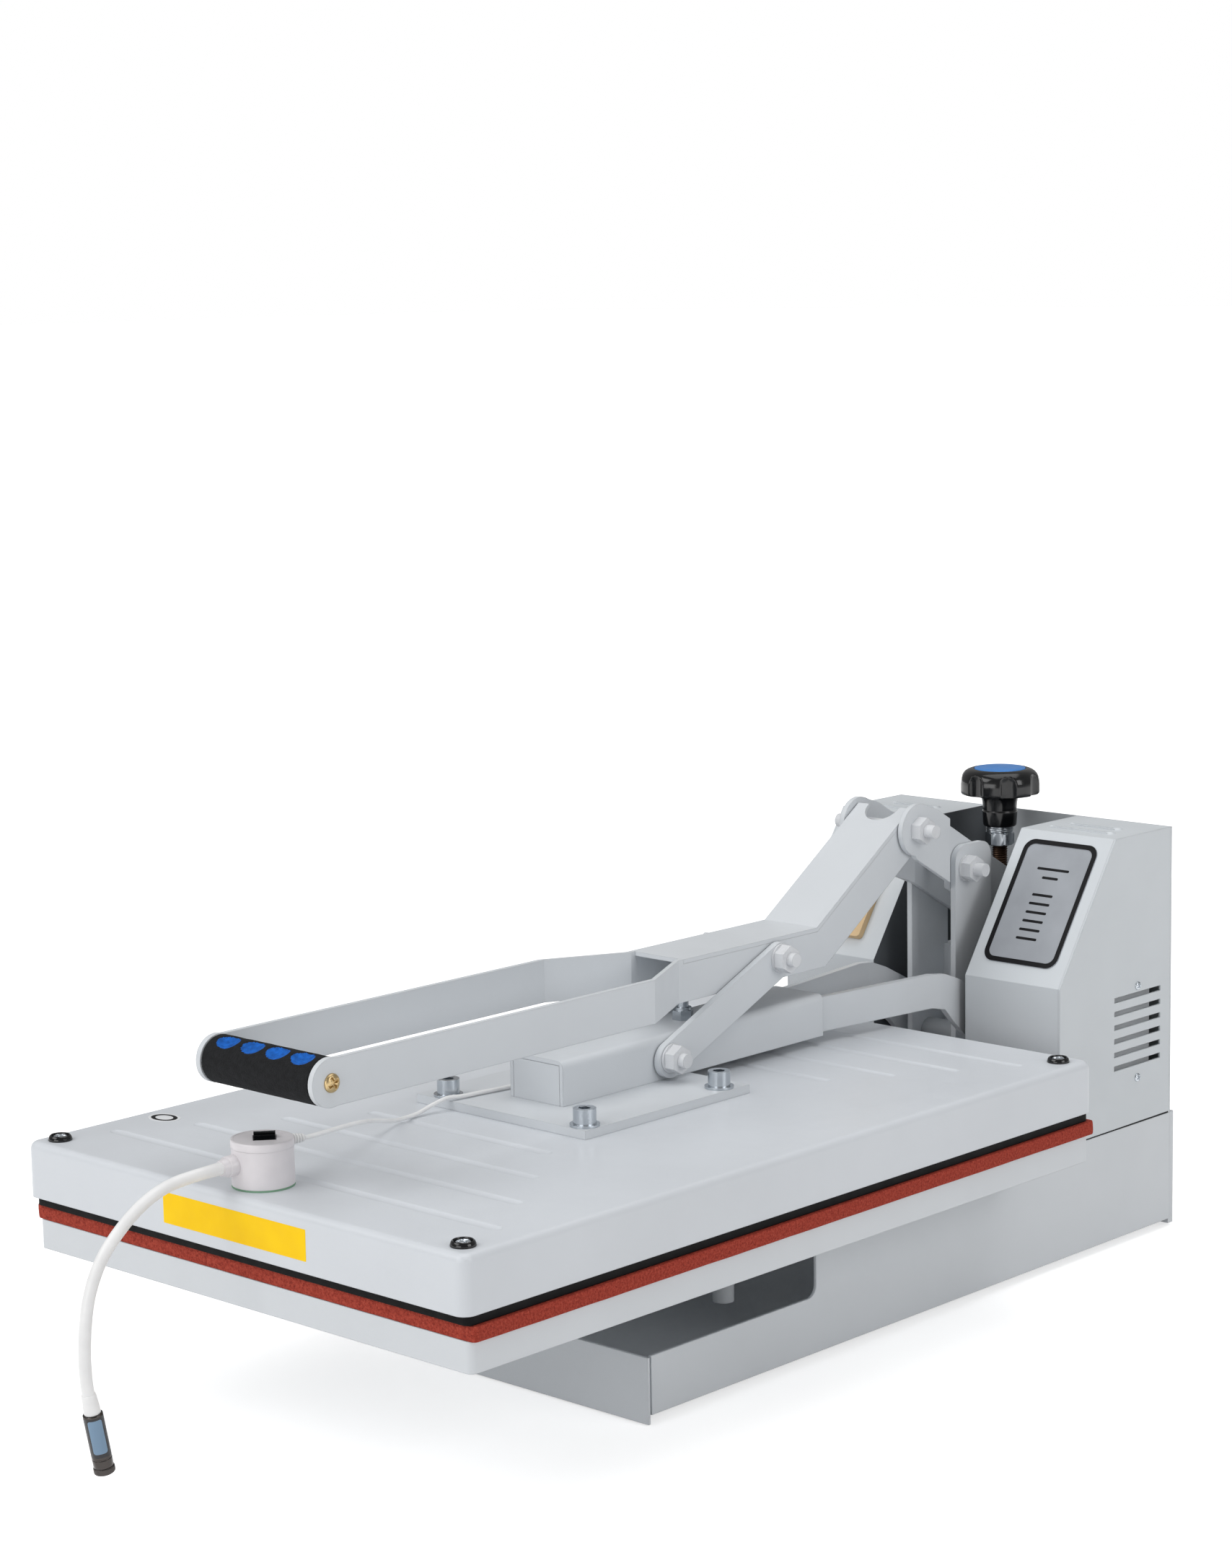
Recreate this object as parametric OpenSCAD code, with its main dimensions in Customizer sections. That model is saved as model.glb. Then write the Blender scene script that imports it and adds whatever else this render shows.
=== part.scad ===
// Clamshell dry mounting press with a toggle handle and a pressure knob.
// X runs to the right, Y from the front to the back, Z up.
// The origin is the centre of the base's footprint on the table.

/* [Pad and platens] */
// Width of the silicone sponge pad
pad_w = 400; // [380:1:420]
// Length of the silicone sponge pad
pad_len = 600; // [585:1:620]
// Thickness of the silicone sponge pad
pad_th = 9.5; // [6:0.5:14]
// Distance from the base centre back to the pad's rear edge
pad_rear_y = 90; // [84:1:94]
// How far the pad overhangs the lower platen on each side
pad_lip = 3.2; // [1:0.2:6]
// Thickness of the lower platen
platen_th = 19; // [12:0.5:26]
// Sheet thickness of the lower platen
platen_sheet = 3; // [2:0.5:5]
// Radius of the platens' upright corners
platen_r = 4.5; // [4:0.5:12]
// Thickness of the heating plate
heater_th = 6.2; // [4:0.2:10]
// Gap that the closed press leaves above the pad
pad_gap = 0.3; // [0.3:0.1:1]

/* [Upper cover] */
// Overhang of the cover beyond the pad at the front
cover_front_lip = 6.5; // [4:0.5:9]
// Distance from the pad's rear edge forward to the cover's rear edge
cover_rear_back = 1.5; // [0.5:0.5:4]
// Amount that the cover is narrower than the pad on each side
cover_inset = 0.6; // [0:0.2:3]
// Height of the cover
cover_h = 36; // [30:1:44]
// Radius of the cover's top edges
cover_edge_r = 5; // [2:0.5:6]
// Radius of the cover's upright corners
cover_r = 8; // [6.5:0.5:14]
// Sheet thickness of the cover
cover_sheet = 1.5; // [1:0.1:2.5]
// Diameter of the corner screw cups
cup_d = 15.5; // [12:0.5:18]
// Height of the corner screw cups
cup_h = 3.5; // [3:0.5:5]
// Distance from the cover's sides to the cup centres
cup_inset_x = 16; // [14:0.5:20]
// Distance from the cover's front edge to the front cups
cup_inset_front = 15.5; // [14:0.5:22]
// Distance from the cover's rear edge to the rear cups
cup_inset_rear = 19; // [14:0.5:22]
// Width of the pressed grooves in the cover
groove_w = 9; // [6:0.5:12]
// Depth of the pressed grooves in the cover
groove_depth = 1.1; // [0.5:0.1:1.4]
// Distance between the pressed grooves behind the arm
groove_pitch = 38; // [30:1:40]
// Distance between the pressed grooves in front of the arm
groove_pitch_front = 46; // [40:1:48]

/* [Base] */
// Width of the base
base_w = 254; // [244:1:270]
// Length of the base's side walls
base_len = 576; // [560:1:600]
// Distance from the base centre back to the base's rear edge
base_rear_y = 290.5; // [289:0.5:294]
// Height of the base's top edge above the table
base_h = 88; // [80:1:96]
// Sheet thickness of the base
base_sheet = 2; // [1.5:0.25:3]
// Height of the base's bottom edge above the table
base_lift = 6; // [4:0.5:10]
// Height of the low front part of the side walls above the table
low_h = 44.5; // [36:0.5:56]
// Length of the low front part of the side walls
low_len = 162; // [120:1:180]
// Radius at the end of the low part
low_r = 8; // [4:1:12]
// Width of the flanges along the base's top edges
flange_w = 14; // [10:1:20]
// Height of the rails between the base and the lower platen
rail_h = 17; // [12:0.5:22]
// Width of a rail
rail_w = 26; // [20:1:34]
// Diameter of the levelling studs
stud_d = 14; // [10:0.5:18]
// Diameter of the rubber feet
foot_d = 28; // [20:1:36]
// Distance from the base's sides to the feet's centres
foot_side = 45; // [30:1:60]
// Distance from the base's ends to the feet's centres
foot_end = 36; // [26:1:60]

/* [Control boxes] */
// Distance between the two control boxes
box_gap = 85.4; // [84:0.2:90]
// Distance from the base centre back to the boxes' front faces
box_front_y = 150; // [147:0.5:154]
// Height of the boxes above the base
box_h = 216.5; // [205:0.5:230]
// Height above the base at which the front face starts to slope
slope_start = 117; // [105:1:130]
// Depth of the sloping part of the front face
slope_depth = 68.7; // [60:0.1:76]
// Sheet thickness of the boxes
box_sheet = 1.5; // [1:0.1:2.5]
// Number of louvre slots in each side panel
slot_count = 6; // [3:1:8]
// Distance between the louvre slots
slot_pitch = 10.2; // [7:0.1:11]
// Length of a louvre slot
slot_len = 59; // [40:1:64]
// Height of a louvre slot
slot_h = 3.9; // [2:0.1:5]
// Width of the conversion plate
label_w = 65; // [50:1:76]
// Length of the conversion plate along the slope
label_len = 99.5; // [80:0.5:106]
// Width of the controller's bezel
ctrl_w = 48; // [44:1:60]
// Length of the controller's bezel along the slope
ctrl_len = 96; // [90:1:104]
// Thickness of the controller's bezel
ctrl_th = 5; // [3:0.5:8]

/* [Linkage] */
// Distance from the base centre back to the arm's pivot
arm_pivot_y = 185; // [182:0.5:188]
// Height of the arm's pivot above the base
arm_pivot_up = 60.5; // [58:0.5:64]
// Distance from the base centre back to the rocker's pivot
rocker_pivot_y = 178.5; // [177:0.5:182]
// Height of the rocker's pivot above the base
rocker_pivot_up = 190; // [186:0.5:194]
// Distance from the rocker's pivot forward to the handle's pivot
handle_pivot_dy = 65.3; // [62:0.1:68]
// Height of the handle's pivot above the rocker's pivot
handle_pivot_dz = 37.5; // [35:0.1:40]
// Distance from the base centre forward to the lower link pivot
link_pin_y = 155.8; // [150:0.2:162]
// Height of the lower link pivot above the mounting plate
link_pin_up = 15.3; // [12:0.1:17]
// Length of the links between their pivots
link_len = 123.7; // [118:0.1:130]
// Width of the links
link_w = 24.5; // [22:0.5:28]
// Distance of the links' middle line below their pivots
link_drop = 1.5; // [0:0.1:2.5]
// Thickness of the links
link_th = 5; // [3:0.5:6]
// Diameter of the pivot bolts
bolt_d = 10; // [8:0.5:12]
// Diameter of the arm's pivot shaft
shaft_d = 16; // [12:0.5:18]
// Outer diameter of the spacer tube on the shaft
spacer_d = 20.5; // [19.5:0.5:26]
// Radial running clearance of the pivots
run_clear = 0.05; // [0.02:0.01:0.1]
// Gap between flat parts that turn beside each other
side_gap = 1; // [0.5:0.1:1.2]

/* [Uprights and rocker] */
// Distance between the uprights' outer faces
upright_w = 45; // [44:0.5:48]
// Thickness of the uprights
upright_th = 4.5; // [3:0.5:5]
// Depth of the uprights
upright_depth = 43.5; // [40:0.5:48]
// Distance from the base centre back to the uprights' front edges
upright_y = 165; // [162:0.5:167]
// Height of the uprights above the rocker's pivot
upright_top = 17.5; // [15:0.5:22]
// Thickness of the rocker's cheeks
cheek_th = 4; // [3:0.5:5]
// Height of the rocker's cheeks
cheek_h = 41; // [38:0.5:43]
// Radius of the cheeks' front ends
cheek_nose_r = 19; // [17:0.5:21]
// Length of the rocker's cheeks behind the pressure screw
cheek_tail = 10; // [8:0.5:12]

/* [Arm] */
// Width of the arm channel
channel_w = 48; // [46:0.5:50]
// Height of the arm channel
channel_h = 30; // [27:0.5:34]
// Wall thickness of the arm channel
channel_wall = 3; // [2:0.25:4]
// Distance from the base centre forward to the arm channel's front end
channel_front = 254; // [245:1:262]
// Distance from the base centre back to the arm channel's rear end
channel_rear = 10; // [5:1:15]
// Thickness of the arm straps
strap_th = 5; // [4:0.5:6]
// Height of the arm straps
strap_h = 25; // [20:0.5:26]
// Width of the mounting plate
mount_w = 154; // [140:1:170]
// Length of the mounting plate
mount_len = 158; // [150:1:170]
// Thickness of the mounting plate
mount_th = 6; // [4:0.5:8]
// Diameter of the cap screws' heads
cap_head_d = 15; // [13:0.5:18]
// Height of the cap screws' heads
cap_head_h = 10; // [8:0.5:12]
// Diameter of the cap screws' washers
cap_washer_d = 19.5; // [17:0.5:22]
// Distance from the left edge of the plate to the left cap screws
cap_inset_left = 20; // [12:0.5:24]
// Distance from the right edge of the plate to the right cap screws
cap_inset_right = 10; // [10:0.5:20]

/* [Handle] */
// Outer width of the handle's channel
handle_w = 48; // [46:0.5:50]
// Height of the handle's channel
handle_h = 29.2; // [26:0.2:32]
// Thickness of the handle's side plates
handle_side = 4; // [3:0.5:5]
// Thickness of the handle's top plate
handle_top_th = 3; // [2:0.25:4]
// Outer width across the two handle arms
arms_w = 106; // [96:1:116]
// Distance from the base centre back to the handle's bend
bend_y = 8.3; // [2:0.1:14]
// Distance from the base centre forward to the narrow end of the step
step_rear = 140; // [130:1:146]
// Distance from the base centre forward to the wide end of the step
step_front = 195; // [185:1:210]
// Distance from the base centre forward to the grip's axis
grip_y = 480; // [460:1:490]
// Diameter of the foam grip
grip_d = 30; // [26:0.5:34]

/* [Pressure knob] */
// Distance from the base centre back to the pressure screw
screw_y = 249.5; // [246:0.5:251]
// Diameter of the pressure screw
screw_d = 12; // [10:0.5:14]
// Height of the knob's lower end above the shelf
knob_up = 86; // [80:0.5:92]
// Diameter of the knob
knob_d = 60; // [50:1:66]
// Number of lobes on the knob
knob_lobes = 7; // [6:1:10]
// Height of the knob's stem
stem_h = 24.5; // [20:0.5:32]
// Height of the knob's rim
rim_h = 19.5; // [12:0.5:21]
// Height of the shelf above the base
shelf_up = 124; // [118:0.5:128]

/* [Laser pointer] */
// Diameter of the switch box
laser_d = 38.5; // [34:0.5:42]
// Height of the switch box
laser_h = 28; // [24:0.5:32]
// Distance from the cover's front edge back to the switch box's centre
laser_back = 28.5; // [26:0.5:34]
// Sideways place of the switch box
laser_x = -2; // [-8:0.5:4]
// Diameter of the gooseneck
neck_d = 7.5; // [6:0.5:9]
// Diameter of the laser module
module_d = 12; // [10:0.5:14]
// Length of the laser module
module_len = 34; // [28:0.5:40]
// Diameter of the laser's cord
cord_d = 2.8; // [2:0.2:3]

/* [Hidden] */
$fn = 64;
// Small overlap that makes a cut run clean through a face
cut = 1;

// Heights
trough_floor = base_lift + base_sheet;
platen_z = base_h + rail_h;
pad_z = platen_z + platen_th;
heater_z = pad_z + pad_th + pad_gap;
cover_z = heater_z + heater_th;
cover_top = cover_z + cover_h;
plate_top = cover_top + mount_th;
channel_top = plate_top + channel_h;
box_top = base_h + box_h;
slope_z = base_h + slope_start;
shelf_z = base_h + shelf_up;

// Places along the press
trough_y1 = base_rear_y;
trough_y0 = trough_y1 - base_len;
pad_y0 = pad_rear_y - pad_len;
cover_y0 = pad_y0 - cover_front_lip;
cover_y1 = pad_rear_y - cover_rear_back;
cover_x = pad_w / 2 - cover_inset;
mount_y0 = -channel_front - 35;
mount_y1 = mount_y0 + mount_len;
box_x0 = box_gap / 2;
box_x1 = base_w / 2;
box_y1 = trough_y1;

// Pivots as [y, z] in the side view
arm_pivot = [arm_pivot_y, base_h + arm_pivot_up];
rocker_pivot = [rocker_pivot_y, base_h + rocker_pivot_up];
handle_pivot = rocker_pivot + [-handle_pivot_dy, handle_pivot_dz];
link_low = [-link_pin_y, plate_top + link_pin_up];
toggle = handle_pivot - link_low;
toggle_dir = toggle / norm(toggle);
link_high = link_low + link_len * toggle_dir;
link_angle = atan2(toggle[1], toggle[0]);

// Sideways layers of the linkage, from the middle outwards
handle_x = handle_w / 2;
upright_x = upright_w / 2;
layer_x = max(handle_x, channel_w / 2) + side_gap;
cheek_x = layer_x;
rear_cheek_x = upright_x - upright_th - 0.5;
strap_x = upright_x + (box_x0 - upright_x - strap_th) / 2 + 1.5;

// Bolts
nut_af = 1.7 * bolt_d;
nut_h = 0.8 * bolt_d;
washer_d = 2 * bolt_d;
washer_h = 1.6;
tip_out = 5;

// Outline of the control boxes in the side view
function box_profile(d) = [
    [box_front_y + d, base_h + d],
    [box_front_y + d, slope_z - d * 0.3],
    [box_front_y + slope_depth + d * 0.6, box_top - d],
    [box_y1 - box_sheet, box_top - d],
    [box_y1 - box_sheet, base_h + d]
];
slope_vec = [slope_depth, box_top - slope_z];
slope_len = norm(slope_vec);
slope_tilt = atan2(slope_vec[1], slope_vec[0]);

// Draws a side view outline between two X positions
module side_view(x0, x1) {
    translate([x0, 0, 0])
        rotate([90, 0, 90])
            linear_extrude(x1 - x0)
                children();
}

// Draws its children and their mirror image across the press
module both_sides() {
    children();
    mirror([1, 0, 0])
        children();
}

// Round bar along X
module bar_x(x0, x1, r, at) {
    translate([x0, at[0], at[1]])
        rotate([0, 90, 0])
            cylinder(h = x1 - x0, r = r);
}

// Hexagon nut along X
module nut_x(x0, x1, flats, at) {
    translate([x0, at[0], at[1]])
        rotate([0, 90, 0])
            cylinder(h = x1 - x0, d = flats / cos(30), $fn = 6);
}

// Flat rectangle with round corners
module round_rect(x0, x1, y0, y1, r) {
    translate([x0 + r, y0])
        square([x1 - x0 - 2 * r, y1 - y0]);
    translate([x0, y0 + r])
        square([x1 - x0, y1 - y0 - 2 * r]);
    for (x = [x0 + r, x1 - r])
        for (y = [y0 + r, y1 - r])
            translate([x, y])
                circle(r);
}

// Flat bar with round ends, from the origin along the first axis
module round_bar(length, r) {
    for (x = [0, length])
        translate([x, 0])
            circle(r);
    translate([0, -r])
        square([length, 2 * r]);
}

// Places its children on the sloping face, with Y along the slope and Z out of it
module on_slope(x) {
    translate([x, box_front_y, slope_z])
        rotate([slope_tilt, 0, 0])
            children();
}

// Bolt on one side of a pivot: washer, nut and the tip of the thread
module nut_stack(x, at, tip = tip_out, washer = true) {
    w = washer ? washer_h : 0;
    if (washer)
        bar_x(x, x + washer_h, washer_d / 2, at);
    nut_x(x + w, x + w + nut_h, nut_af, at);
    bar_x(x + w, x + w + nut_h + tip, bolt_d / 2 - 0.1, at);
}

// Sweeps a tube along a list of points; side is a direction that the path never takes
function unit(v) = v / norm(v);
function tangent(p, k) = unit(p[min(k + 1, len(p) - 1)] - p[max(k - 1, 0)]);
function ring(p, k, r, sides, side) =
    let (t = tangent(p, k), s = unit(cross(t, side)), u = cross(s, t))
    [for (j = [0 : sides - 1]) p[k] + r * (cos(360 * j / sides) * s + sin(360 * j / sides) * u)];

module tube_along(p, r, sides, side) {
    n = len(p);
    points = [for (k = [0 : n - 1]) for (q = ring(p, k, r, sides, side)) q];
    walls = [for (k = [0 : n - 2]) for (j = [0 : sides - 1]) let (m = (j + 1) % sides)
        each [[k * sides + j, k * sides + m, (k + 1) * sides + m],
            [k * sides + j, (k + 1) * sides + m, (k + 1) * sides + j]]];
    caps = [for (j = [1 : sides - 2])
        each [[0, j + 1, j], [(n - 1) * sides, (n - 1) * sides + j, (n - 1) * sides + j + 1]]];
    polyhedron(points, concat(walls, caps), convexity = 8);
}

// Base

module trough_side_outline() {
    low_y = trough_y0 + low_len;
    difference() {
        translate([trough_y0, base_lift])
            square([base_len, base_h - base_lift]);
        translate([trough_y0 - cut, low_h + low_r])
            square([low_len + cut, base_h]);
        translate([trough_y0 - cut, low_h])
            square([low_len + cut - low_r, low_r + cut]);
        translate([low_y - low_r, low_h + low_r])
            circle(low_r);
    }
}

module base_trough() {
    x = base_w / 2;
    stand = rear_cheek_x + cheek_th;
    color("gainsboro") {
        both_sides()
            side_view(x - base_sheet, x)
                trough_side_outline();
        translate([-x + base_sheet, trough_y0, base_lift])
            cube([base_w - 2 * base_sheet, base_len, base_sheet]);
        both_sides()
            translate([x - flange_w, trough_y0 + low_len, base_h - base_sheet])
                cube([flange_w - base_sheet, base_len - low_len, base_sheet]);
    }
}

module front_plate() {
    w = base_w + 3;
    top = low_h;
    return_len = 16;
    y = trough_y0 - 3;
    inner = base_w / 2 - base_sheet;
    color("whitesmoke") {
        translate([-w / 2, y - base_sheet, 1])
            cube([w, base_sheet, top - 1]);
        both_sides()
            translate([inner - base_sheet, y, trough_floor])
                cube([base_sheet, return_len, top - trough_floor - 3]);
    }
}

module rear_plate() {
    w = base_w - 2;
    depth = 6;
    color("gainsboro")
        difference() {
            translate([-w / 2, trough_y1, base_lift - 4])
                cube([w, depth, base_h - base_lift + 4]);
            translate([-w / 2 + base_sheet, trough_y1 - cut, base_lift - 4 + base_sheet])
                cube([w - 2 * base_sheet, depth - base_sheet + cut, base_h - base_lift + 4 - 2 * base_sheet]);
        }
}

module rubber_feet() {
    color("dimgray")
        both_sides()
            for (y = [trough_y0 + foot_end, trough_y1 - foot_end])
                translate([base_w / 2 - foot_side, y, 0])
                    cylinder(h = base_lift, d1 = foot_d - 3, d2 = foot_d);
}

rail_x1 = base_w / 2;
rail_front = trough_y0 + low_len - 84;
rail_rear = pad_rear_y - 12;
stud_y = rail_front + 15;
stud_low = 54;

module platen_rails() {
    x = rail_x1 - rail_w;
    t = 3;
    top = pad_z - platen_sheet;
    color("silver") {
        both_sides()
            difference() {
                translate([x, rail_front, base_h])
                    cube([rail_w, rail_rear - rail_front, top - base_h]);
                translate([x - cut, rail_front - cut, base_h + t])
                    cube([rail_w - t + cut, rail_rear - rail_front + 2 * cut, top - base_h - 2 * t]);
            }
        both_sides()
            translate([rail_x1 - rail_w / 2 - 8, stud_y, stud_low])
                cylinder(h = base_h - stud_low, d = stud_d);
    }
}

module lower_platen() {
    x = pad_w / 2 - pad_lip;
    y = pad_rear_y - pad_lip;
    t = platen_sheet;
    color("lightgray")
        difference() {
            translate([0, 0, platen_z])
                linear_extrude(platen_th)
                    round_rect(-x, x, pad_y0, y, platen_r);
            translate([0, 0, platen_z - cut])
                linear_extrude(platen_th - t + cut)
                    round_rect(-x + t, x - t, pad_y0 + t, y - t, platen_r - t);
        }
}

module silicone_pad() {
    color("firebrick")
        translate([0, 0, pad_z])
            linear_extrude(pad_th)
                round_rect(-pad_w / 2, pad_w / 2, pad_y0, pad_rear_y, 4);
}

// Control boxes

module box_shell() {
    difference() {
        side_view(box_x0, box_x1 - box_sheet)
            polygon(box_profile(0));
        side_view(box_x0 + box_sheet, box_x1)
            polygon(box_profile(box_sheet));
        translate([box_x0 + box_sheet, box_y1 - box_sheet - 2 * cut, base_h + box_sheet])
            cube([box_x1 - box_x0, 3 * cut, box_h - 2 * box_sheet]);
    }
}

// Raised ribs pressed into the top of a box
module top_rib(y, x0, x1) {
    r = 4;
    height = 1.6;
    for (x = [x0, x1])
        translate([x, y, box_top])
            cylinder(h = height, r1 = r, r2 = r - 1.5);
    translate([x0, y - r, box_top])
        cube([x1 - x0, 2 * r, height / 2]);
    translate([x0, y - r + 1.5, box_top])
        cube([x1 - x0, 2 * r - 3, height]);
}

module control_box_shells() {
    hole = [(box_x0 + box_x1) / 2, slope_len / 2 + 2];
    color("whitesmoke") {
        box_shell();
        difference() {
            mirror([1, 0, 0])
                box_shell();
            on_slope(-hole[0])
                translate([-ctrl_w / 2 + 3, hole[1] - ctrl_len / 2 + 3, -3 * box_sheet])
                    cube([ctrl_w - 6, ctrl_len - 6, 6 * box_sheet]);
        }
        both_sides() {
            top_rib(box_front_y + slope_depth + 18, box_x0 + 16, box_x1 - 18);
            top_rib(box_front_y + slope_depth + 36, box_x0 + 22, box_x1 - 24);
        }
    }
}

slot_y = (box_front_y + box_y1) / 2 + 27;
slot_top = base_h + 95.3;
box_screw_z = [slot_top + 8.5, slot_top - slot_pitch * (slot_count - 1) - 9.5];

module side_panels() {
    color("gainsboro")
        both_sides()
            difference() {
                side_view(box_x1 - box_sheet, box_x1)
                    polygon(box_profile(0));
                for (k = [0 : slot_count - 1])
                    translate([box_x1 - box_sheet - cut, slot_y - slot_len / 2, slot_top - k * slot_pitch])
                        cube([box_sheet + 2 * cut, slot_len, slot_h]);
            }
}

module box_screws() {
    color("silver")
        both_sides()
            for (z = box_screw_z)
                bar_x(box_x1, box_x1 + 1.8, 3.2, [slot_y, z]);
}

module rear_cover() {
    inlet = [-(box_x0 + box_x1) / 2, base_h + 40];
    color("gainsboro")
        difference() {
            translate([-box_x1, box_y1 - box_sheet, base_h])
                cube([2 * box_x1, box_sheet, box_h]);
            translate([inlet[0] - 14, box_y1 - 2 * box_sheet, inlet[1] - 20])
                cube([28, 3 * box_sheet, 48]);
        }
}

module conversion_plate() {
    x = (box_x0 + box_x1) / 2 - 0.8;
    border = 4;
    color("silver")
        on_slope(x)
            translate([0, slope_len / 2 + 3.2, 0]) {
                linear_extrude(0.4)
                    round_rect(-label_w / 2, label_w / 2, -label_len / 2, label_len / 2, 9);
                linear_extrude(0.7)
                    difference() {
                        round_rect(-label_w / 2, label_w / 2, -label_len / 2, label_len / 2, 9);
                        round_rect(-label_w / 2 + border, label_w / 2 - border,
                            -label_len / 2 + border, label_len / 2 - border, 6);
                    }
            }
}

ctrl_x = -(box_x0 + box_x1) / 2;
ctrl_mid = slope_len / 2 + 2;
key_d = 8;
key_pitch = ctrl_w / 4.4;
key_y = -ctrl_len / 2 + 16;
key_up = 1.2;
disp_w = ctrl_w - 12;
disp_len = ctrl_len * 0.42;
disp_y = 10;

module controller_bezel() {
    color("tan")
        on_slope(ctrl_x)
            translate([0, ctrl_mid, 0])
                difference() {
                    union() {
                        linear_extrude(ctrl_th)
                            round_rect(-ctrl_w / 2, ctrl_w / 2, -ctrl_len / 2, ctrl_len / 2, 3);
                        translate([-ctrl_w / 2 + 4, -ctrl_len / 2 + 4, -40])
                            cube([ctrl_w - 8, ctrl_len - 8, 40]);
                    }
                    translate([-disp_w / 2, disp_y - disp_len / 2, ctrl_th - 1.2])
                        cube([disp_w, disp_len, 2]);
                    for (k = [0 : 3])
                        translate([(k - 1.5) * key_pitch, key_y, ctrl_th - 3])
                            cylinder(h = 4, d = key_d + 0.6);
                }
}

module controller_display() {
    color("black")
        on_slope(ctrl_x)
            translate([-disp_w / 2 + 0.1, ctrl_mid + disp_y - disp_len / 2 + 0.1, ctrl_th - 1.2])
                cube([disp_w - 0.2, disp_len - 0.2, 1.4]);
}

module key(k) {
    color("whitesmoke")
        on_slope(ctrl_x)
            translate([(k - 1.5) * key_pitch, ctrl_mid + key_y, ctrl_th - 3 + key_up])
                cylinder(h = 3, d = key_d);
}

module button_1() { key(0); }
module button_2() { key(1); }
module button_3() { key(2); }
module button_4() { key(3); }

inlet_x = -(box_x0 + box_x1) / 2;
inlet_z = base_h + 40;
switch_z = inlet_z + 17;
rocker_tip = 8;

module power_inlet() {
    color("dimgray")
        difference() {
            union() {
                translate([inlet_x - 16, box_y1, inlet_z - 22])
                    cube([32, 3, 52]);
                translate([inlet_x - 13.7, box_y1 - 22, inlet_z - 19.7])
                    cube([27.4, 22, 47.4]);
            }
            translate([inlet_x - 11, box_y1 - 14, inlet_z - 16])
                cube([22, 20, 15]);
            translate([inlet_x - 11, box_y1 - 8, switch_z - 6.5])
                cube([22, 14, 13]);
        }
        for (x = [-6, 0, 6])
            color("silver")
                translate([inlet_x + x - 1, box_y1 - 14, inlet_z - 8.5 - 2])
                    cube([2, 11, 4]);
}

// Rocker of a switch, turning about X, its raised half on the +Y side
module rocker_key(w, r, tip) {
    rotate([tip, 0, 0])
        translate([-w / 2, 0, 0])
            rotate([90, 0, 90])
                difference() {
                    cylinder(h = w, r = r);
                    for (s = [-1, 1])
                        rotate(s * 12)
                            translate([s > 0 ? -2 * r : 0, r * 0.62, -cut])
                                cube([2 * r, r, w + 2 * cut]);
                }
}

module power_switch() {
    color("black")
        translate([inlet_x, box_y1 - 1.4, switch_z])
            rotate([-90, 0, 0])
                rocker_key(21.2, 6, -rocker_tip);
}

// Uprights and pivots of the frame

upright_rear = upright_y + upright_depth;
shelf_th = 6;
shelf_rear = screw_y + 14;

module upright_outline() {
    top = rocker_pivot[1] + upright_top;
    r = 12;
    difference() {
        union() {
            translate([upright_y, trough_floor])
                square([upright_depth, top - r - trough_floor]);
            translate([upright_y + r, top - 2 * r])
                square([upright_depth - 2 * r, 2 * r]);
            for (y = [upright_y + r, upright_rear - r])
                translate([y, top - r])
                    circle(r);
            translate([upright_y - 20, trough_floor])
                square([shelf_rear - upright_y + 20, base_h - 10 - trough_floor]);
        }
        translate(arm_pivot)
            circle(shaft_d / 2 + run_clear);
        translate(rocker_pivot)
            circle(bolt_d / 2 + run_clear);
    }
}

module uprights() {
    inner = upright_x - upright_th;
    color("lightgray") {
        both_sides()
            side_view(inner, upright_x)
                upright_outline();
        both_sides()
            side_view(inner, upright_x)
                polygon([[upright_rear, shelf_z], [shelf_rear, shelf_z], [shelf_rear, shelf_z - 10],
                    [upright_rear, shelf_z - 60]]);
        translate([-inner, upright_rear - 5, shelf_z - shelf_th])
            cube([2 * inner, shelf_rear - upright_rear + 5, shelf_th]);
        translate([-inner, upright_rear - 5, trough_floor + 40])
            cube([2 * inner, 5, shelf_z - shelf_th - trough_floor - 40]);
    }
}

module spacer_tube() {
    half = upright_x - upright_th;
    color("gray")
        difference() {
            bar_x(-half, half, spacer_d / 2, arm_pivot);
            bar_x(-half - cut, half + cut, shaft_d / 2 + run_clear, arm_pivot);
        }
}

shaft_half = strap_x + strap_th + 0.5;

module pivot_shaft() {
    color("silver") {
        bar_x(-shaft_half, shaft_half, shaft_d / 2, arm_pivot);
        both_sides()
            bar_x(shaft_half, shaft_half + 1.5, shaft_d / 2 + 3, arm_pivot);
    }
}

module rocker_bolt() {
    color("lightgray") {
        bar_x(-upright_x, upright_x, bolt_d / 2, rocker_pivot);
        both_sides()
            nut_stack(upright_x, rocker_pivot, 8);
    }
}

// Arm

module arm_channel() {
    x = channel_w / 2;
    r = 5;
    color("gainsboro")
        difference() {
            translate([0, -channel_front, 0])
                rotate([-90, 0, 0])
                    linear_extrude(channel_front + channel_rear)
                        mirror([0, 1])
                            difference() {
                                union() {
                                    translate([-x, plate_top])
                                        square([channel_w, channel_h - r]);
                                    translate([-x + r, channel_top - r])
                                        square([channel_w - 2 * r, r]);
                                    for (s = [-1, 1])
                                        translate([s * (x - r), channel_top - r])
                                            circle(r);
                                }
                                translate([-x + channel_wall, plate_top - cut])
                                    square([channel_w - 2 * channel_wall, channel_h - channel_wall + cut]);
                            }
            bar_x(-x - cut, x + cut, bolt_d / 2 + 0.05, link_low);
            translate([0, -stop_y, plate_top])
                cylinder(h = channel_h + cut, d = stop_d + 0.1);
            bar_x(-x - cut, 0, cord_d / 2 + 0.4, [cord_hole[0], cord_hole[1]]);
        }
}

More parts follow.
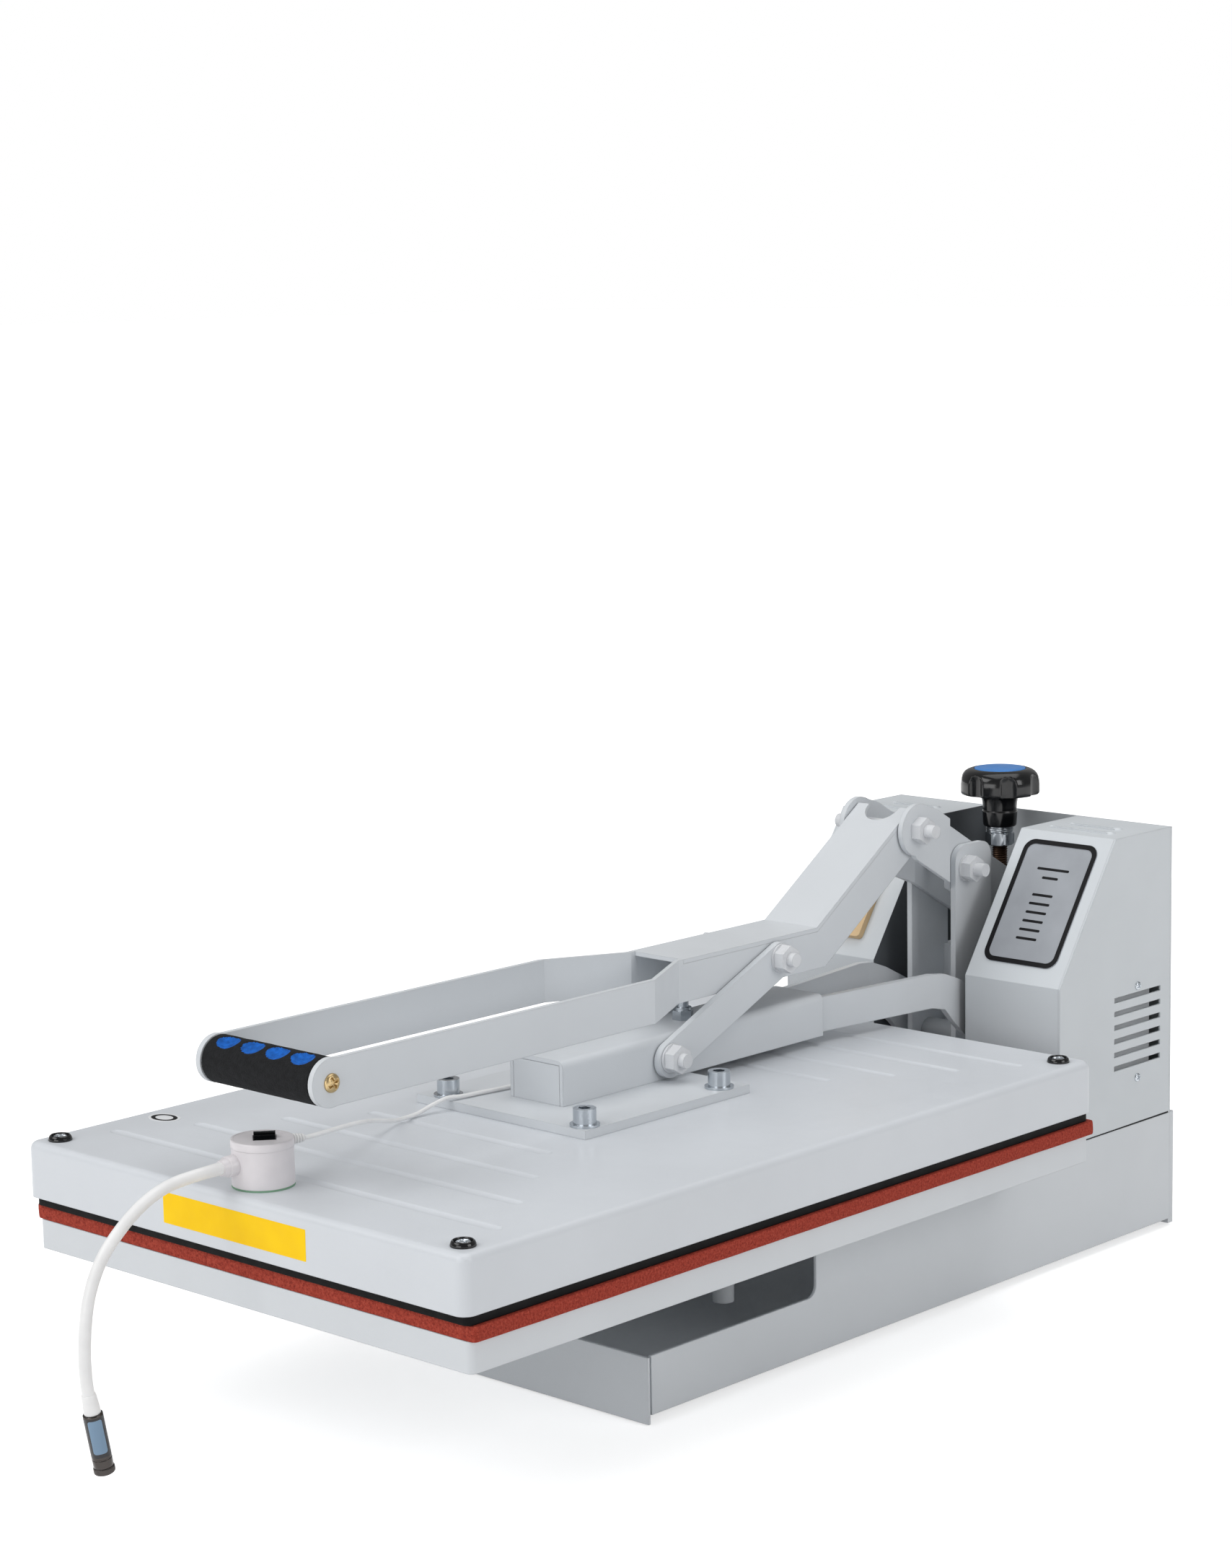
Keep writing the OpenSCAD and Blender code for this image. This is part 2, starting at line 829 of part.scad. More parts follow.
module arm_end_plate() {
    x = channel_w / 2 - channel_wall - 0.2;
    color("gainsboro")
        translate([-x, -channel_front, plate_top])
            cube([2 * x, channel_wall, channel_h - channel_wall - 0.2]);
}

strap_top = channel_top - channel_wall;
strap_in = channel_w / 2 - channel_wall - strap_th;
strap_y0 = channel_rear - 45;
strap_y1 = channel_rear + 2;
strap_y2 = arm_pivot_y - 55;

module strap_outline() {
    a = arm_pivot;
    r = shaft_d / 2 + 14;
    difference() {
        union() {
            translate(a)
                circle(r);
            polygon([[strap_y0, strap_top - strap_h], [strap_y0, strap_top], [a[0] - 65, strap_top],
                [a[0] - 50, strap_top - 2], [a[0] - 34, strap_top - 8], [a[0] - 6, strap_top - 22],
                [a[0] + 10, strap_top - 34], [a[0] + 16, a[1] + r - 9], [a[0], a[1]], [a[0] - r + 1, a[1] + 4],
                [a[0] - 40, a[1] + 21], [a[0] - 51, strap_top - strap_h - 3], [a[0] - 65, strap_top - strap_h]]);
        }
        translate(a)
            circle(shaft_d / 2 + run_clear);
    }
}

module strap_plan() {
    t = strap_th;
    polygon([[strap_in, strap_y0], [strap_in, strap_y1], [strap_x, strap_y2], [strap_x, arm_pivot_y + 40],
        [strap_x + t, arm_pivot_y + 40], [strap_x + t, strap_y2 - 1], [strap_in + t, strap_y1 - 1],
        [strap_in + t, strap_y0]]);
}

module arm_straps() {
    color("gainsboro")
        both_sides()
            intersection() {
                side_view(0, box_x0)
                    strap_outline();
                linear_extrude(box_top)
                    strap_plan();
            }
}

cap_x = [-mount_w / 2 + cap_inset_left, mount_w / 2 - cap_inset_right];
cap_y = [mount_y0 + 10, mount_y1 - 19];
cap_screw_d = cap_head_d * 0.66;

module mounting_plate() {
    color("gainsboro")
        difference() {
            translate([-mount_w / 2, mount_y0, cover_top])
                cube([mount_w, mount_len, mount_th]);
            for (x = cap_x)
                for (y = cap_y)
                    translate([x, y, cover_top - cut])
                        cylinder(h = mount_th + 2 * cut, d = cap_screw_d + 0.4);
        }
}

module cap_screws() {
    washer = 1.6;
    socket = cap_head_d * 0.5;
    color("silver")
        for (x = cap_x)
            for (y = cap_y)
                translate([x, y, plate_top]) {
                    difference() {
                        cylinder(h = washer, d = cap_washer_d);
                        translate([0, 0, -cut])
                            cylinder(h = washer + 2 * cut, d = cap_screw_d + 0.4);
                    }
                    difference() {
                        translate([0, 0, washer])
                            cylinder(h = cap_head_h, d = cap_head_d);
                        translate([0, 0, washer + cap_head_h / 2])
                            cylinder(h = cap_head_h, d = socket / cos(30), $fn = 6);
                    }
                    translate([0, 0, -mount_th - cover_sheet - 8])
                        cylinder(h = mount_th + cover_sheet + 8 + washer, d = cap_screw_d);
                }
}

// Round-edged body that the cover is cut from
module cover_body(inset, z0, z1, edge) {
    r = cover_r - inset;
    hull()
        for (x = [-cover_x + cover_r, cover_x - cover_r])
            for (y = [cover_y0 + cover_r, cover_y1 - cover_r])
                translate([x, y, z0]) {
                    cylinder(h = z1 - z0 - edge, r = r, $fn = 32);
                    translate([0, 0, z1 - z0 - edge])
                        rotate_extrude($fn = 32)
                            intersection() {
                                translate([r - edge, 0])
                                    circle(edge, $fn = 32);
                                square([r, edge]);
                            }
                }
}

cup_x = cover_x - cup_inset_x;
cup_y = [cover_y0 + cup_inset_front, cover_y1 - cup_inset_rear];

// One pressed groove across the cover
module groove(y, x0, x1) {
    r = (groove_w * groove_w / 4 + groove_depth * groove_depth) / (2 * groove_depth);
    z = cover_top + r - groove_depth;
    translate([x0, y, z])
        rotate([0, 90, 0])
            cylinder(h = x1 - x0, r = r, $fn = 96);
    for (x = [x0, x1])
        translate([x, y, z])
            sphere(r, $fn = 96);
}

// The grooves lie in two fans of four, in front of the arm and behind it
groove_count = 4;
groove_half = [168, 143, 118, 93];
groove_half_front = [172, 144, 111, 78];
groove_front = cover_y0 + 52;
groove_rear = cover_y1 - 46.5;

module upper_cover() {
    color("gainsboro")
        difference() {
            cover_body(0, cover_z, cover_top, cover_edge_r);
            cover_body(cover_sheet, cover_z - cut, cover_top - 2 * cover_sheet, 2);
            for (k = [0 : groove_count - 1]) {
                groove(groove_rear - k * groove_pitch, -groove_half[k], groove_half[k]);
                groove(groove_front + k * groove_pitch_front, -groove_half_front[k], groove_half_front[k]);
            }
            for (x = cap_x)
                for (y = cap_y)
                    translate([x, y, cover_z])
                        cylinder(h = cover_h + cut, d = cap_screw_d + 0.4);
            for (x = [-cup_x, cup_x])
                for (y = cup_y)
                    translate([x, y, cover_z])
                        cylinder(h = cover_h + cut, d = 4.4);
        }
}

module cover_cups() {
    color("black")
        for (x = [-cup_x, cup_x])
            for (y = cup_y)
                translate([x, y, cover_top])
                    difference() {
                        cylinder(h = cup_h, d1 = cup_d, d2 = cup_d - 2);
                        translate([0, 0, 1.2])
                            cylinder(h = cup_h, d = cup_d - 4.5);
                        translate([0, 0, -cut])
                            cylinder(h = cup_h, d = 4.4);
                    }
}

module cover_screws() {
    color("silver")
        for (x = [-cup_x, cup_x])
            for (y = cup_y)
                translate([x, y, cover_top + 1.2]) {
                    difference() {
                        cylinder(h = 3, d1 = cup_d - 5.5, d2 = cup_d - 8);
                        for (a = [0, 90])
                            rotate(a)
                                translate([-3, -0.5, 1.4])
                                    cube([6, 1, 3]);
                    }
                    translate([0, 0, -14])
                        cylinder(h = 14, d = 4);
                }
}

heater_x = pad_w / 2 - 3;
heater_y0 = pad_y0 - 2;
heater_y1 = cover_y1 - 2;

module heater_plate() {
    color("black")
        translate([0, 0, heater_z])
            linear_extrude(heater_th)
                round_rect(-heater_x, heater_x, heater_y0, heater_y1, platen_r);
}

coil_d = 7.8;
coil_runs = 8;
coil_pitch = (2 * heater_x - 70) / (coil_runs - 1);
coil_y0 = heater_y0 + 60;
coil_y1 = heater_y1 - 60;

module heating_element() {
    x0 = -coil_pitch * (coil_runs - 1) / 2;
    color("dimgray")
        translate([0, 0, cover_z + coil_d / 2]) {
            for (k = [0 : coil_runs - 1])
                translate([x0 + k * coil_pitch, coil_y0, 0])
                    rotate([-90, 0, 0])
                        cylinder(h = coil_y1 - coil_y0, d = coil_d);
            for (y = [coil_y0, coil_y1])
                translate([x0 - coil_d / 2, y - coil_d / 2, -coil_d / 2])
                    cube([coil_pitch * (coil_runs - 1) + coil_d, coil_d, coil_d]);
        }
}

module insulation_blanket() {
    z = cover_z + coil_d + 0.3;
    color("beige")
        difference() {
            translate([-heater_x + 8, heater_y0 + 10, z])
                cube([2 * heater_x - 16, heater_y1 - heater_y0 - 20, 10]);
            for (x = [-cup_x, cup_x])
                for (y = cup_y)
                    translate([x, y, z - cut])
                        cylinder(h = 20, r = 5);
        }
}

bolt_layer = layer_x + link_th;
nut_face = bolt_layer + 0.2;

module link_lower_bolt() {
    color("lightgray") {
        bar_x(-nut_face, nut_face, bolt_d / 2, link_low);
        both_sides()
            nut_stack(nut_face, link_low);
    }
}

stop_y = 110.7;
stop_d = 8;
stop_top = link_high[1] - 1.3 + handle_h / 2 - handle_top_th - 7.5;

module stop_bolt() {
    color("silver") {
        translate([0, -stop_y, channel_top])
            cylinder(h = 6.5, d = 13 / cos(30), $fn = 6);
        translate([0, -stop_y, channel_top + 6.5])
            cylinder(h = 2, d = 12);
        translate([0, -stop_y, channel_top - channel_wall - 4])
            cylinder(h = stop_top - channel_top + channel_wall + 4, d = stop_d);
    }
}

// Links

module links() {
    color("whitesmoke")
        both_sides()
            translate([0, link_low[0], link_low[1]])
                rotate([link_angle, 0, 0])
                    difference() {
                        side_view(layer_x, bolt_layer)
                            translate([0, -link_drop])
                                round_bar(link_len, link_w / 2);
                        bar_x(layer_x - cut, bolt_layer + cut, bolt_d / 2 + run_clear, [0, 0]);
                        bar_x(layer_x - cut, bolt_layer + cut, bolt_d / 2, [link_len, 0]);
                    }
}

module link_upper_bolts() {
    color("lightgray")
        both_sides() {
            bar_x(layer_x, bolt_layer, bolt_d / 2, link_high);
            nut_stack(bolt_layer, link_high);
        }
}

// Handle

handle_mid = link_high[1] - 1.3;
bend = [bend_y, handle_mid];
rise = handle_pivot - bend;
rise_dir = rise / norm(rise);
rise_normal = [-rise_dir[1], rise_dir[0]];
handle_angle = atan2(rise[1], rise[0]);
handle_end = handle_pivot + 2 * rise_dir;
half_bend = handle_h / 2 * tan(handle_angle / 2);

// Side view of the handle between two offsets from its middle line
function handle_band(y0, lo, hi, end) = [
    [y0, handle_mid + lo],
    [bend_y - lo * tan(handle_angle / 2), handle_mid + lo],
    end + lo * rise_normal,
    end + hi * rise_normal,
    [bend_y - hi * tan(handle_angle / 2), handle_mid + hi],
    [y0, handle_mid + hi]
];

module handle_side_outline() {
    h = handle_h / 2;
    difference() {
        union() {
            translate([-grip_y, handle_mid])
                circle(h + 0.6);
            polygon(handle_band(-grip_y, -h, h, handle_pivot));
            translate(handle_pivot)
                circle(h);
        }
        translate(handle_pivot)
            circle(bolt_d / 2 + run_clear);
        translate([-grip_y, handle_mid])
            circle(grip_bolt_d / 2 + 0.1);
        polygon([[-step_rear + 4, handle_mid + h + 5], [-step_rear + 4, handle_mid + h - handle_top_th],
            [bend_y - (h - handle_top_th) * tan(handle_angle / 2), handle_mid + h - handle_top_th],
            handle_end + (h - handle_top_th) * rise_normal + 3 * h * rise_dir,
            handle_end + (h + 5) * rise_normal + 3 * h * rise_dir,
            [bend_y - (h + 5) * tan(handle_angle / 2), handle_mid + h + 5]]);
    }
}

module handle_plan() {
    t = handle_side;
    a = handle_x - t;
    b = arms_w / 2 - t;
    far = handle_pivot[0] + 60;
    polygon([[a, far], [a, -step_rear], [b, -step_front], [b, -grip_y - 40], [b + t, -grip_y - 40],
        [b + t, -step_front - 1], [a + t, -step_rear - 1], [a + t, far]]);
}

module handle_sides() {
    color("gainsboro")
        both_sides()
            intersection() {
                side_view(0, arms_w)
                    handle_side_outline();
                linear_extrude(2 * box_top)
                    handle_plan();
            }
}

module handle_top() {
    h = handle_h / 2;
    end = handle_pivot + 6 * rise_dir;
    notch_r = 14;
    color("whitesmoke")
        difference() {
            side_view(-handle_x, handle_x)
                polygon(handle_band(-step_rear + 4, h - handle_top_th, h, end));
            translate([0, end[0], end[1]])
                rotate([handle_angle, 0, 0]) {
                    translate([0, -1.5, 0])
                        cylinder(h = 2 * h, r = notch_r);
                    translate([-notch_r, -1.5, 0])
                        cube([2 * notch_r, 20, 2 * h]);
                }
        }
}

grip_bolt_d = 7;
arm_in = arms_w / 2 - handle_side;
grip_at = [-grip_y, handle_mid];

module foam_grip() {
    half = arm_in - 0.3;
    color("black")
        difference() {
            bar_x(-half, half, grip_d / 2, grip_at);
            bar_x(-half - cut, half + cut, grip_bolt_d / 2 + 0.3, grip_at);
            for (k = [0 : 3])
                insert(k, 0.3);
        }
}

insert_pitch = (2 * arm_in - 8) / 4;
insert_r = 9.5;

// One finger inset, a disc let into the foam's top
module insert(k, extra) {
    x = (k - 1.5) * insert_pitch;
    translate([x, -grip_y, handle_mid])
        rotate([18, 0, 0])
            translate([0, 0, grip_d / 2 - 2.4 - extra])
                cylinder(h = 6, r = insert_r + extra);
}

module grip_inserts() {
    color("royalblue")
        intersection() {
            for (k = [0 : 3])
                insert(k, 0);
            bar_x(-arm_in, arm_in, grip_d / 2 - 0.2, grip_at);
        }
}

module grip_bolt() {
    x = arms_w / 2;
    color("darkgoldenrod") {
        bar_x(-x, x, grip_bolt_d / 2, grip_at);
        both_sides()
            difference() {
                translate([x, -grip_y, handle_mid])
                    rotate([0, 90, 0])
                        cylinder(h = 2.6, r1 = 6, r2 = 4);
                for (a = [0, 90])
                    translate([x + 1.4, -grip_y, handle_mid])
                        rotate([a, 0, 0])
                            translate([0, -3, -0.6])
                                cube([3, 6, 1.2]);
            }
    }
}

// Rocker

rocker_vec = rocker_pivot - handle_pivot;
rocker_dir = rocker_vec / norm(rocker_vec);
rocker_angle = atan2(rocker_vec[1], rocker_vec[0]);
cheek_len = (screw_y - handle_pivot[0]) / rocker_dir[0] + cheek_tail;
cheek_up = cheek_h / 2 + 1;
cheek_down = cheek_h / 2 - 1;
cheek_bend0 = handle_pivot[0] + 36;
cheek_bend1 = min(cheek_bend0 + 14, upright_y - 1);

module cheek_outline() {
    r = 8;
    n = cheek_nose_r;
    difference() {
        translate(handle_pivot)
            rotate(rocker_angle) {
                circle(n);
                polygon([[-0.96 * n, -0.28 * n], [9, -cheek_down], [cheek_len - r, -cheek_down],
                    [cheek_len - r, cheek_up], [13, cheek_up], [0, n]]);
                translate([cheek_len - 2 * r, -cheek_down + r])
                    square([2 * r, cheek_h - 2 * r]);
                for (q = [-cheek_down + r, cheek_up - r])
                    translate([cheek_len - r, q])
                        circle(r);
            }
        translate(handle_pivot)
            circle(bolt_d / 2 + run_clear);
        translate(rocker_pivot)
            circle(bolt_d / 2 + run_clear);
    }
}

module cheek_plan() {
    t = cheek_th;
    rear = rear_cheek_x - t;
    far = screw_y + 60;
    polygon([[cheek_x, 0], [cheek_x, cheek_bend0], [rear, cheek_bend1], [rear, far], [rear + t, far],
        [rear + t, cheek_bend1 + 1], [cheek_x + t, cheek_bend0 + 1], [cheek_x + t, 0]]);
}

module rocker_cheeks() {
    color("gainsboro")
        both_sides()
            intersection() {
                side_view(0, 2 * cheek_x)
                    cheek_outline();
                linear_extrude(2 * box_top)
                    cheek_plan();
            }
}

trunnion_z = (handle_pivot + (screw_y - handle_pivot[0]) / rocker_dir[0] * rocker_dir)[1] + 3;

module rocker_trunnion() {
    half = rear_cheek_x - cheek_th;
    h = 22;
    depth = 26;
    color("gray")
        difference() {
            translate([-half, screw_y - depth / 2, trunnion_z - h / 2])
                cube([2 * half, depth, h]);
            translate([0, screw_y, trunnion_z - h])
                cylinder(h = 2 * h, d = screw_d + 0.16);
        }
}

module handle_pivot_bolt() {
    x = cheek_x + cheek_th;
    color("lightgray") {
        bar_x(-x, x, bolt_d / 2, handle_pivot);
        both_sides()
            nut_stack(x, handle_pivot, 8, false);
    }
}

// Pressure knob

knob_z = shelf_z + knob_up;
rim_z = knob_z + stem_h;
knob_top = rim_z + rim_h;
jam_h = 10;
collar_h = 4.5;

module pressure_screw() {
    tip = shelf_z + 0.3;
    color("dimgray") {
        translate([0, screw_y, tip])
            cylinder(h = knob_z - tip - collar_h, d = screw_d);
        translate([0, screw_y, knob_z - collar_h - jam_h])
            cylinder(h = jam_h, d = 19 / cos(30), $fn = 6);
        translate([0, screw_y, knob_z - collar_h])
            cylinder(h = collar_h - 0.3, d = 20);
    }
}

module knob_rim() {
    lobe_r = knob_d * 0.145;
    ring = knob_d / 2 - lobe_r;
    circle(ring + lobe_r * 0.55);
    for (k = [0 : knob_lobes - 1])
        rotate(k * 360 / knob_lobes - 15)
            translate([ring, 0])
                circle(lobe_r);
}

module pressure_knob() {
    cap_r = knob_d * 0.325;
    color([0.08, 0.08, 0.08])
        translate([0, screw_y, 0]) {
            translate([0, 0, knob_z])
                cylinder(h = stem_h, d1 = 25.5, d2 = 27);
            difference() {
                union() {
                    translate([0, 0, rim_z])
                        linear_extrude(rim_h - 2)
                            knob_rim();
                    translate([0, 0, rim_z + rim_h - 2])
                        cylinder(h = 2, r1 = knob_d / 2 - 6, r2 = knob_d / 2 - 8);
                }
                translate([0, 0, knob_top - 2])
                    cylinder(h = 3, r = cap_r);
            }
        }
}

module knob_cap() {
    cap_r = knob_d * 0.325 - 0.1;
    color("royalblue")
        translate([0, screw_y, knob_top - 2]) {
            cylinder(h = 2.2, r = cap_r);
            translate([0, 0, 2.2])
                cylinder(h = 0.8, r1 = cap_r, r2 = cap_r - 3);
        }
}

// Laser pointer

laser_y = cover_y0 + laser_back;
magnet_h = 1.2;
housing_z = cover_top + magnet_h;
housing_top = housing_z + laser_h;
switch_at = [laser_x + 1, laser_y + 1];
switch_turn = 50;
relief_angle = 70;
relief_z = housing_top - 3.6;
neck_z = housing_z + 13.8;
neck_x = laser_x - 5;
collar_len = 10;
neck_start = laser_y - laser_d / 2 - collar_len;

module laser_magnet() {
    color("seagreen")
        translate([laser_x, laser_y, cover_top])
            cylinder(h = magnet_h, d = laser_d);
}

module housing_cone(extra) {
    translate([laser_x, laser_y, housing_z])
        cylinder(h = laser_h, d1 = laser_d + 2 * extra, d2 = laser_d - 0.6 + 2 * extra);
}

module laser_housing() {
    color("whitesmoke")
        difference() {
            housing_cone(0);
            translate([switch_at[0], switch_at[1], housing_top - 9])
                rotate(switch_turn)
                    translate([-7, -6.8, 0])
                        cube([14, 13.6, 12]);
        }
}

module laser_switch() {
    color("black")
        translate([switch_at[0], switch_at[1], housing_top - 2])
            rotate(switch_turn)
                rocker_key(13.2, 6, rocker_tip);
}

module strain_relief() {
    turns = 3;
    color("white")
        difference() {
            translate([laser_x, laser_y, relief_z])
                rotate([0, 90, relief_angle]) {
                    translate([0, 0, laser_d / 2 - 0.4])
                        cylinder(h = 8.4, r1 = 3, r2 = 2.2);
                    for (k = [0 : turns - 1])
                        translate([0, 0, laser_d / 2 + 0.6 + 2.2 * k])
                            cylinder(h = 1.2, r = 3.4 - 0.25 * k);
                }
            housing_cone(0.05);
        }
}

module gooseneck_collar() {
    base = laser_d / 2 - 3;
    cone = 4.4;
    color("white")
        difference() {
            translate([neck_x, laser_y - base, neck_z])
                rotate([90, 0, 0]) {
                    cylinder(h = collar_len - cone + 3, d1 = neck_d + 6, d2 = neck_d + 5);
                    translate([0, 0, collar_len - cone + 3])
                        cylinder(h = cone, d1 = neck_d + 4, d2 = neck_d + 1.6);
                }
            housing_cone(0.05);
        }
}

// The gooseneck's path: distance out from the collar, distance down
neck_path = [
    [0, 0], [10, 0], [22, 0.3], [34, 1.2], [46, 3.6], [58, 8.2], [69, 14.6], [79.5, 22.8], [89, 32.2],
    [96.5, 43.5], [102, 57], [105, 72], [106.4, 87], [106.4, 98], [105.9, 106], [104.8, 113]
];
neck_end_turn = 101;
neck_end = neck_path[len(neck_path) - 1];
neck_d_at = [neck_start - neck_end[0], neck_z - neck_end[1]];

// Smooth curve through a list of points, with extra points between them
function smooth(p, k, t) =
    let (a = p[max(k - 1, 0)], b = p[k], c = p[k + 1], d = p[min(k + 2, len(p) - 1)])
    0.5 * (2 * b + (c - a) * t + (2 * a - 5 * b + 4 * c - d) * t * t
        + (3 * b - a - 3 * c + d) * t * t * t);
function smoothed(p, n) =
    [for (k = [0 : len(p) - 2]) for (j = [0 : n - 1]) smooth(p, k, j / n), p[len(p) - 1]];

// Places its children at the end of the gooseneck
module along_neck(at, turn) {
    translate([neck_x, at[0], at[1]])
        rotate([90 + turn, 0, 0])
            children();
}

function neck_point(q) = [neck_x, q[0], q[1]];
neck_points = [for (q = smoothed(neck_path, 3)) neck_point([neck_start - q[0], neck_z - q[1]])];

module gooseneck() {
    color("white")
        tube_along(neck_points, neck_d / 2, 16, [1, 0, 0]);
}

sleeve_len = 12;

module laser_sleeve() {
    color("white")
        along_neck(neck_d_at, neck_end_turn)
            cylinder(h = sleeve_len, d1 = neck_d + 1.6, d2 = neck_d + 2.6);
}

module laser_module() {
    color("gray")
        along_neck(neck_d_at, neck_end_turn)
            translate([0, 0, sleeve_len])
                cylinder(h = module_len, d = module_d);
}

module laser_cap() {
    color("silver")
        along_neck(neck_d_at, neck_end_turn)
            translate([0, 0, sleeve_len + module_len + 0.1])
                difference() {
                    cylinder(h = 4, d = module_d + 0.8);
                    translate([0, 0, 2])
                        cylinder(h = 4, d = 5);
                }
}

cord_hole = [-220, plate_top + 5];
relief_tip = [laser_x + (laser_d / 2 + 8) * cos(relief_angle), laser_y + (laser_d / 2 + 8) * sin(relief_angle), relief_z];
cord_low = cover_top + cord_d / 2 + 0.4;
cord_mid = plate_top + cord_d / 2 + 0.4;
cord_points = [
    relief_tip,
    relief_tip + [0.8, 2.4, 0],
    [7, -452, 201.3],
    [2.5, -436, 200],
    [-4, -417, 198],
    [-12.5, -397, 194.8],
    [-22, -378, 190.3],
    [-32, -360, 185],
    [-40, -344, 180.6],
    [-46, -330, 178.4],
    [-48.5, -316, cord_low + 0.4],
    [-48, -303, cord_low + 3.6],
    [-45.5, -291, cord_mid + 0.6],
    [-43, -280, cord_mid + 0.1],
    [-41, -264, cord_mid],
    [-38, -246, cord_mid],
    [-36, -232, cord_mid + 0.6],
    [-32, -223, cord_hole[1]],
    [-26, cord_hole[0], cord_hole[1]],
    [-16, cord_hole[0], cord_hole[1]]
];

module laser_cord() {
    color("white")
        tube_along(cord_points, cord_d / 2, 8, [0, 0, 1]);
}

base_trough();
front_plate();
rear_plate();
rubber_feet();
platen_rails();
lower_platen();
silicone_pad();
control_box_shells();
side_panels();
rear_cover();
box_screws();
conversion_plate();
controller_bezel();
controller_display();
button_1();
button_2();
button_3();
button_4();
power_inlet();
power_switch();
uprights();
spacer_tube();
pivot_shaft();
rocker_bolt();
arm_channel();
arm_end_plate();
arm_straps();
mounting_plate();
cap_screws();
upper_cover();
cover_screws();
cover_cups();
heater_plate();
heating_element();
insulation_blanket();
link_lower_bolt();
stop_bolt();
laser_housing();
laser_magnet();
gooseneck_collar();
gooseneck();
laser_sleeve();
laser_module();
laser_cap();
laser_switch();
strain_relief();
laser_cord();
links();
link_upper_bolts();
handle_sides();
handle_top();
foam_grip();
grip_inserts();
grip_bolt();
rocker_cheeks();
rocker_trunnion();
handle_pivot_bolt();
pressure_screw();
pressure_knob();
knob_cap();
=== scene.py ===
"""Looks of the clamshell mounting press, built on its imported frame."""

import math

import bmesh
import bpy
from mathutils import Matrix, Vector, noise


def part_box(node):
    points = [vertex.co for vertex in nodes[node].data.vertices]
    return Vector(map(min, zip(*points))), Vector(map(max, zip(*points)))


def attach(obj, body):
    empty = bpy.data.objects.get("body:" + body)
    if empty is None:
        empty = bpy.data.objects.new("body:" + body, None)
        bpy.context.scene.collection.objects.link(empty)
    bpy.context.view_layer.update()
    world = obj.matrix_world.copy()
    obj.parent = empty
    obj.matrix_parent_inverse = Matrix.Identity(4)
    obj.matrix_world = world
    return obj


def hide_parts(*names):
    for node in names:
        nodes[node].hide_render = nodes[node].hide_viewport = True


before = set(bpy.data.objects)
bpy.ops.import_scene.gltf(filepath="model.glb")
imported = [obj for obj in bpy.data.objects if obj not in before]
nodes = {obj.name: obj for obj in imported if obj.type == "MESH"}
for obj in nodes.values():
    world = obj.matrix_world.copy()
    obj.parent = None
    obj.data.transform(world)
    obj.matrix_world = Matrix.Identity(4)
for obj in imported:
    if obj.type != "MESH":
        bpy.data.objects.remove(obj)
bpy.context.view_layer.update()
scene = bpy.context.scene


# Camera of the photograph

def make_camera():
    cam = bpy.data.cameras.new("camera")
    obj = bpy.data.objects.new("camera", cam)
    scene.collection.objects.link(obj)
    right = Vector((0.73072, 0.68247, -0.01695))
    up = Vector((-0.09120, 0.12220, 0.98831))
    back = Vector((0.67656, -0.72063, 0.15154))
    turn = Matrix((right, up, back)).transposed().to_4x4()
    obj.matrix_world = Matrix.Translation((1.50903, -1.78068, 0.71980)) @ turn
    cam.sensor_fit = "VERTICAL"
    cam.sensor_height = 24.0
    cam.lens = 4675.6 * 24.0 / 2173.0
    cam.clip_end = 100.0
    scene.camera = obj


make_camera()


# Materials

def srgb(r, g, b):
    """Linear colour of an 8-bit one."""
    out = []
    for v in (r, g, b):
        v /= 255.0
        out.append(v / 12.92 if v <= 0.04045 else ((v + 0.055) / 1.055) ** 2.4)
    return (*out, 1.0)


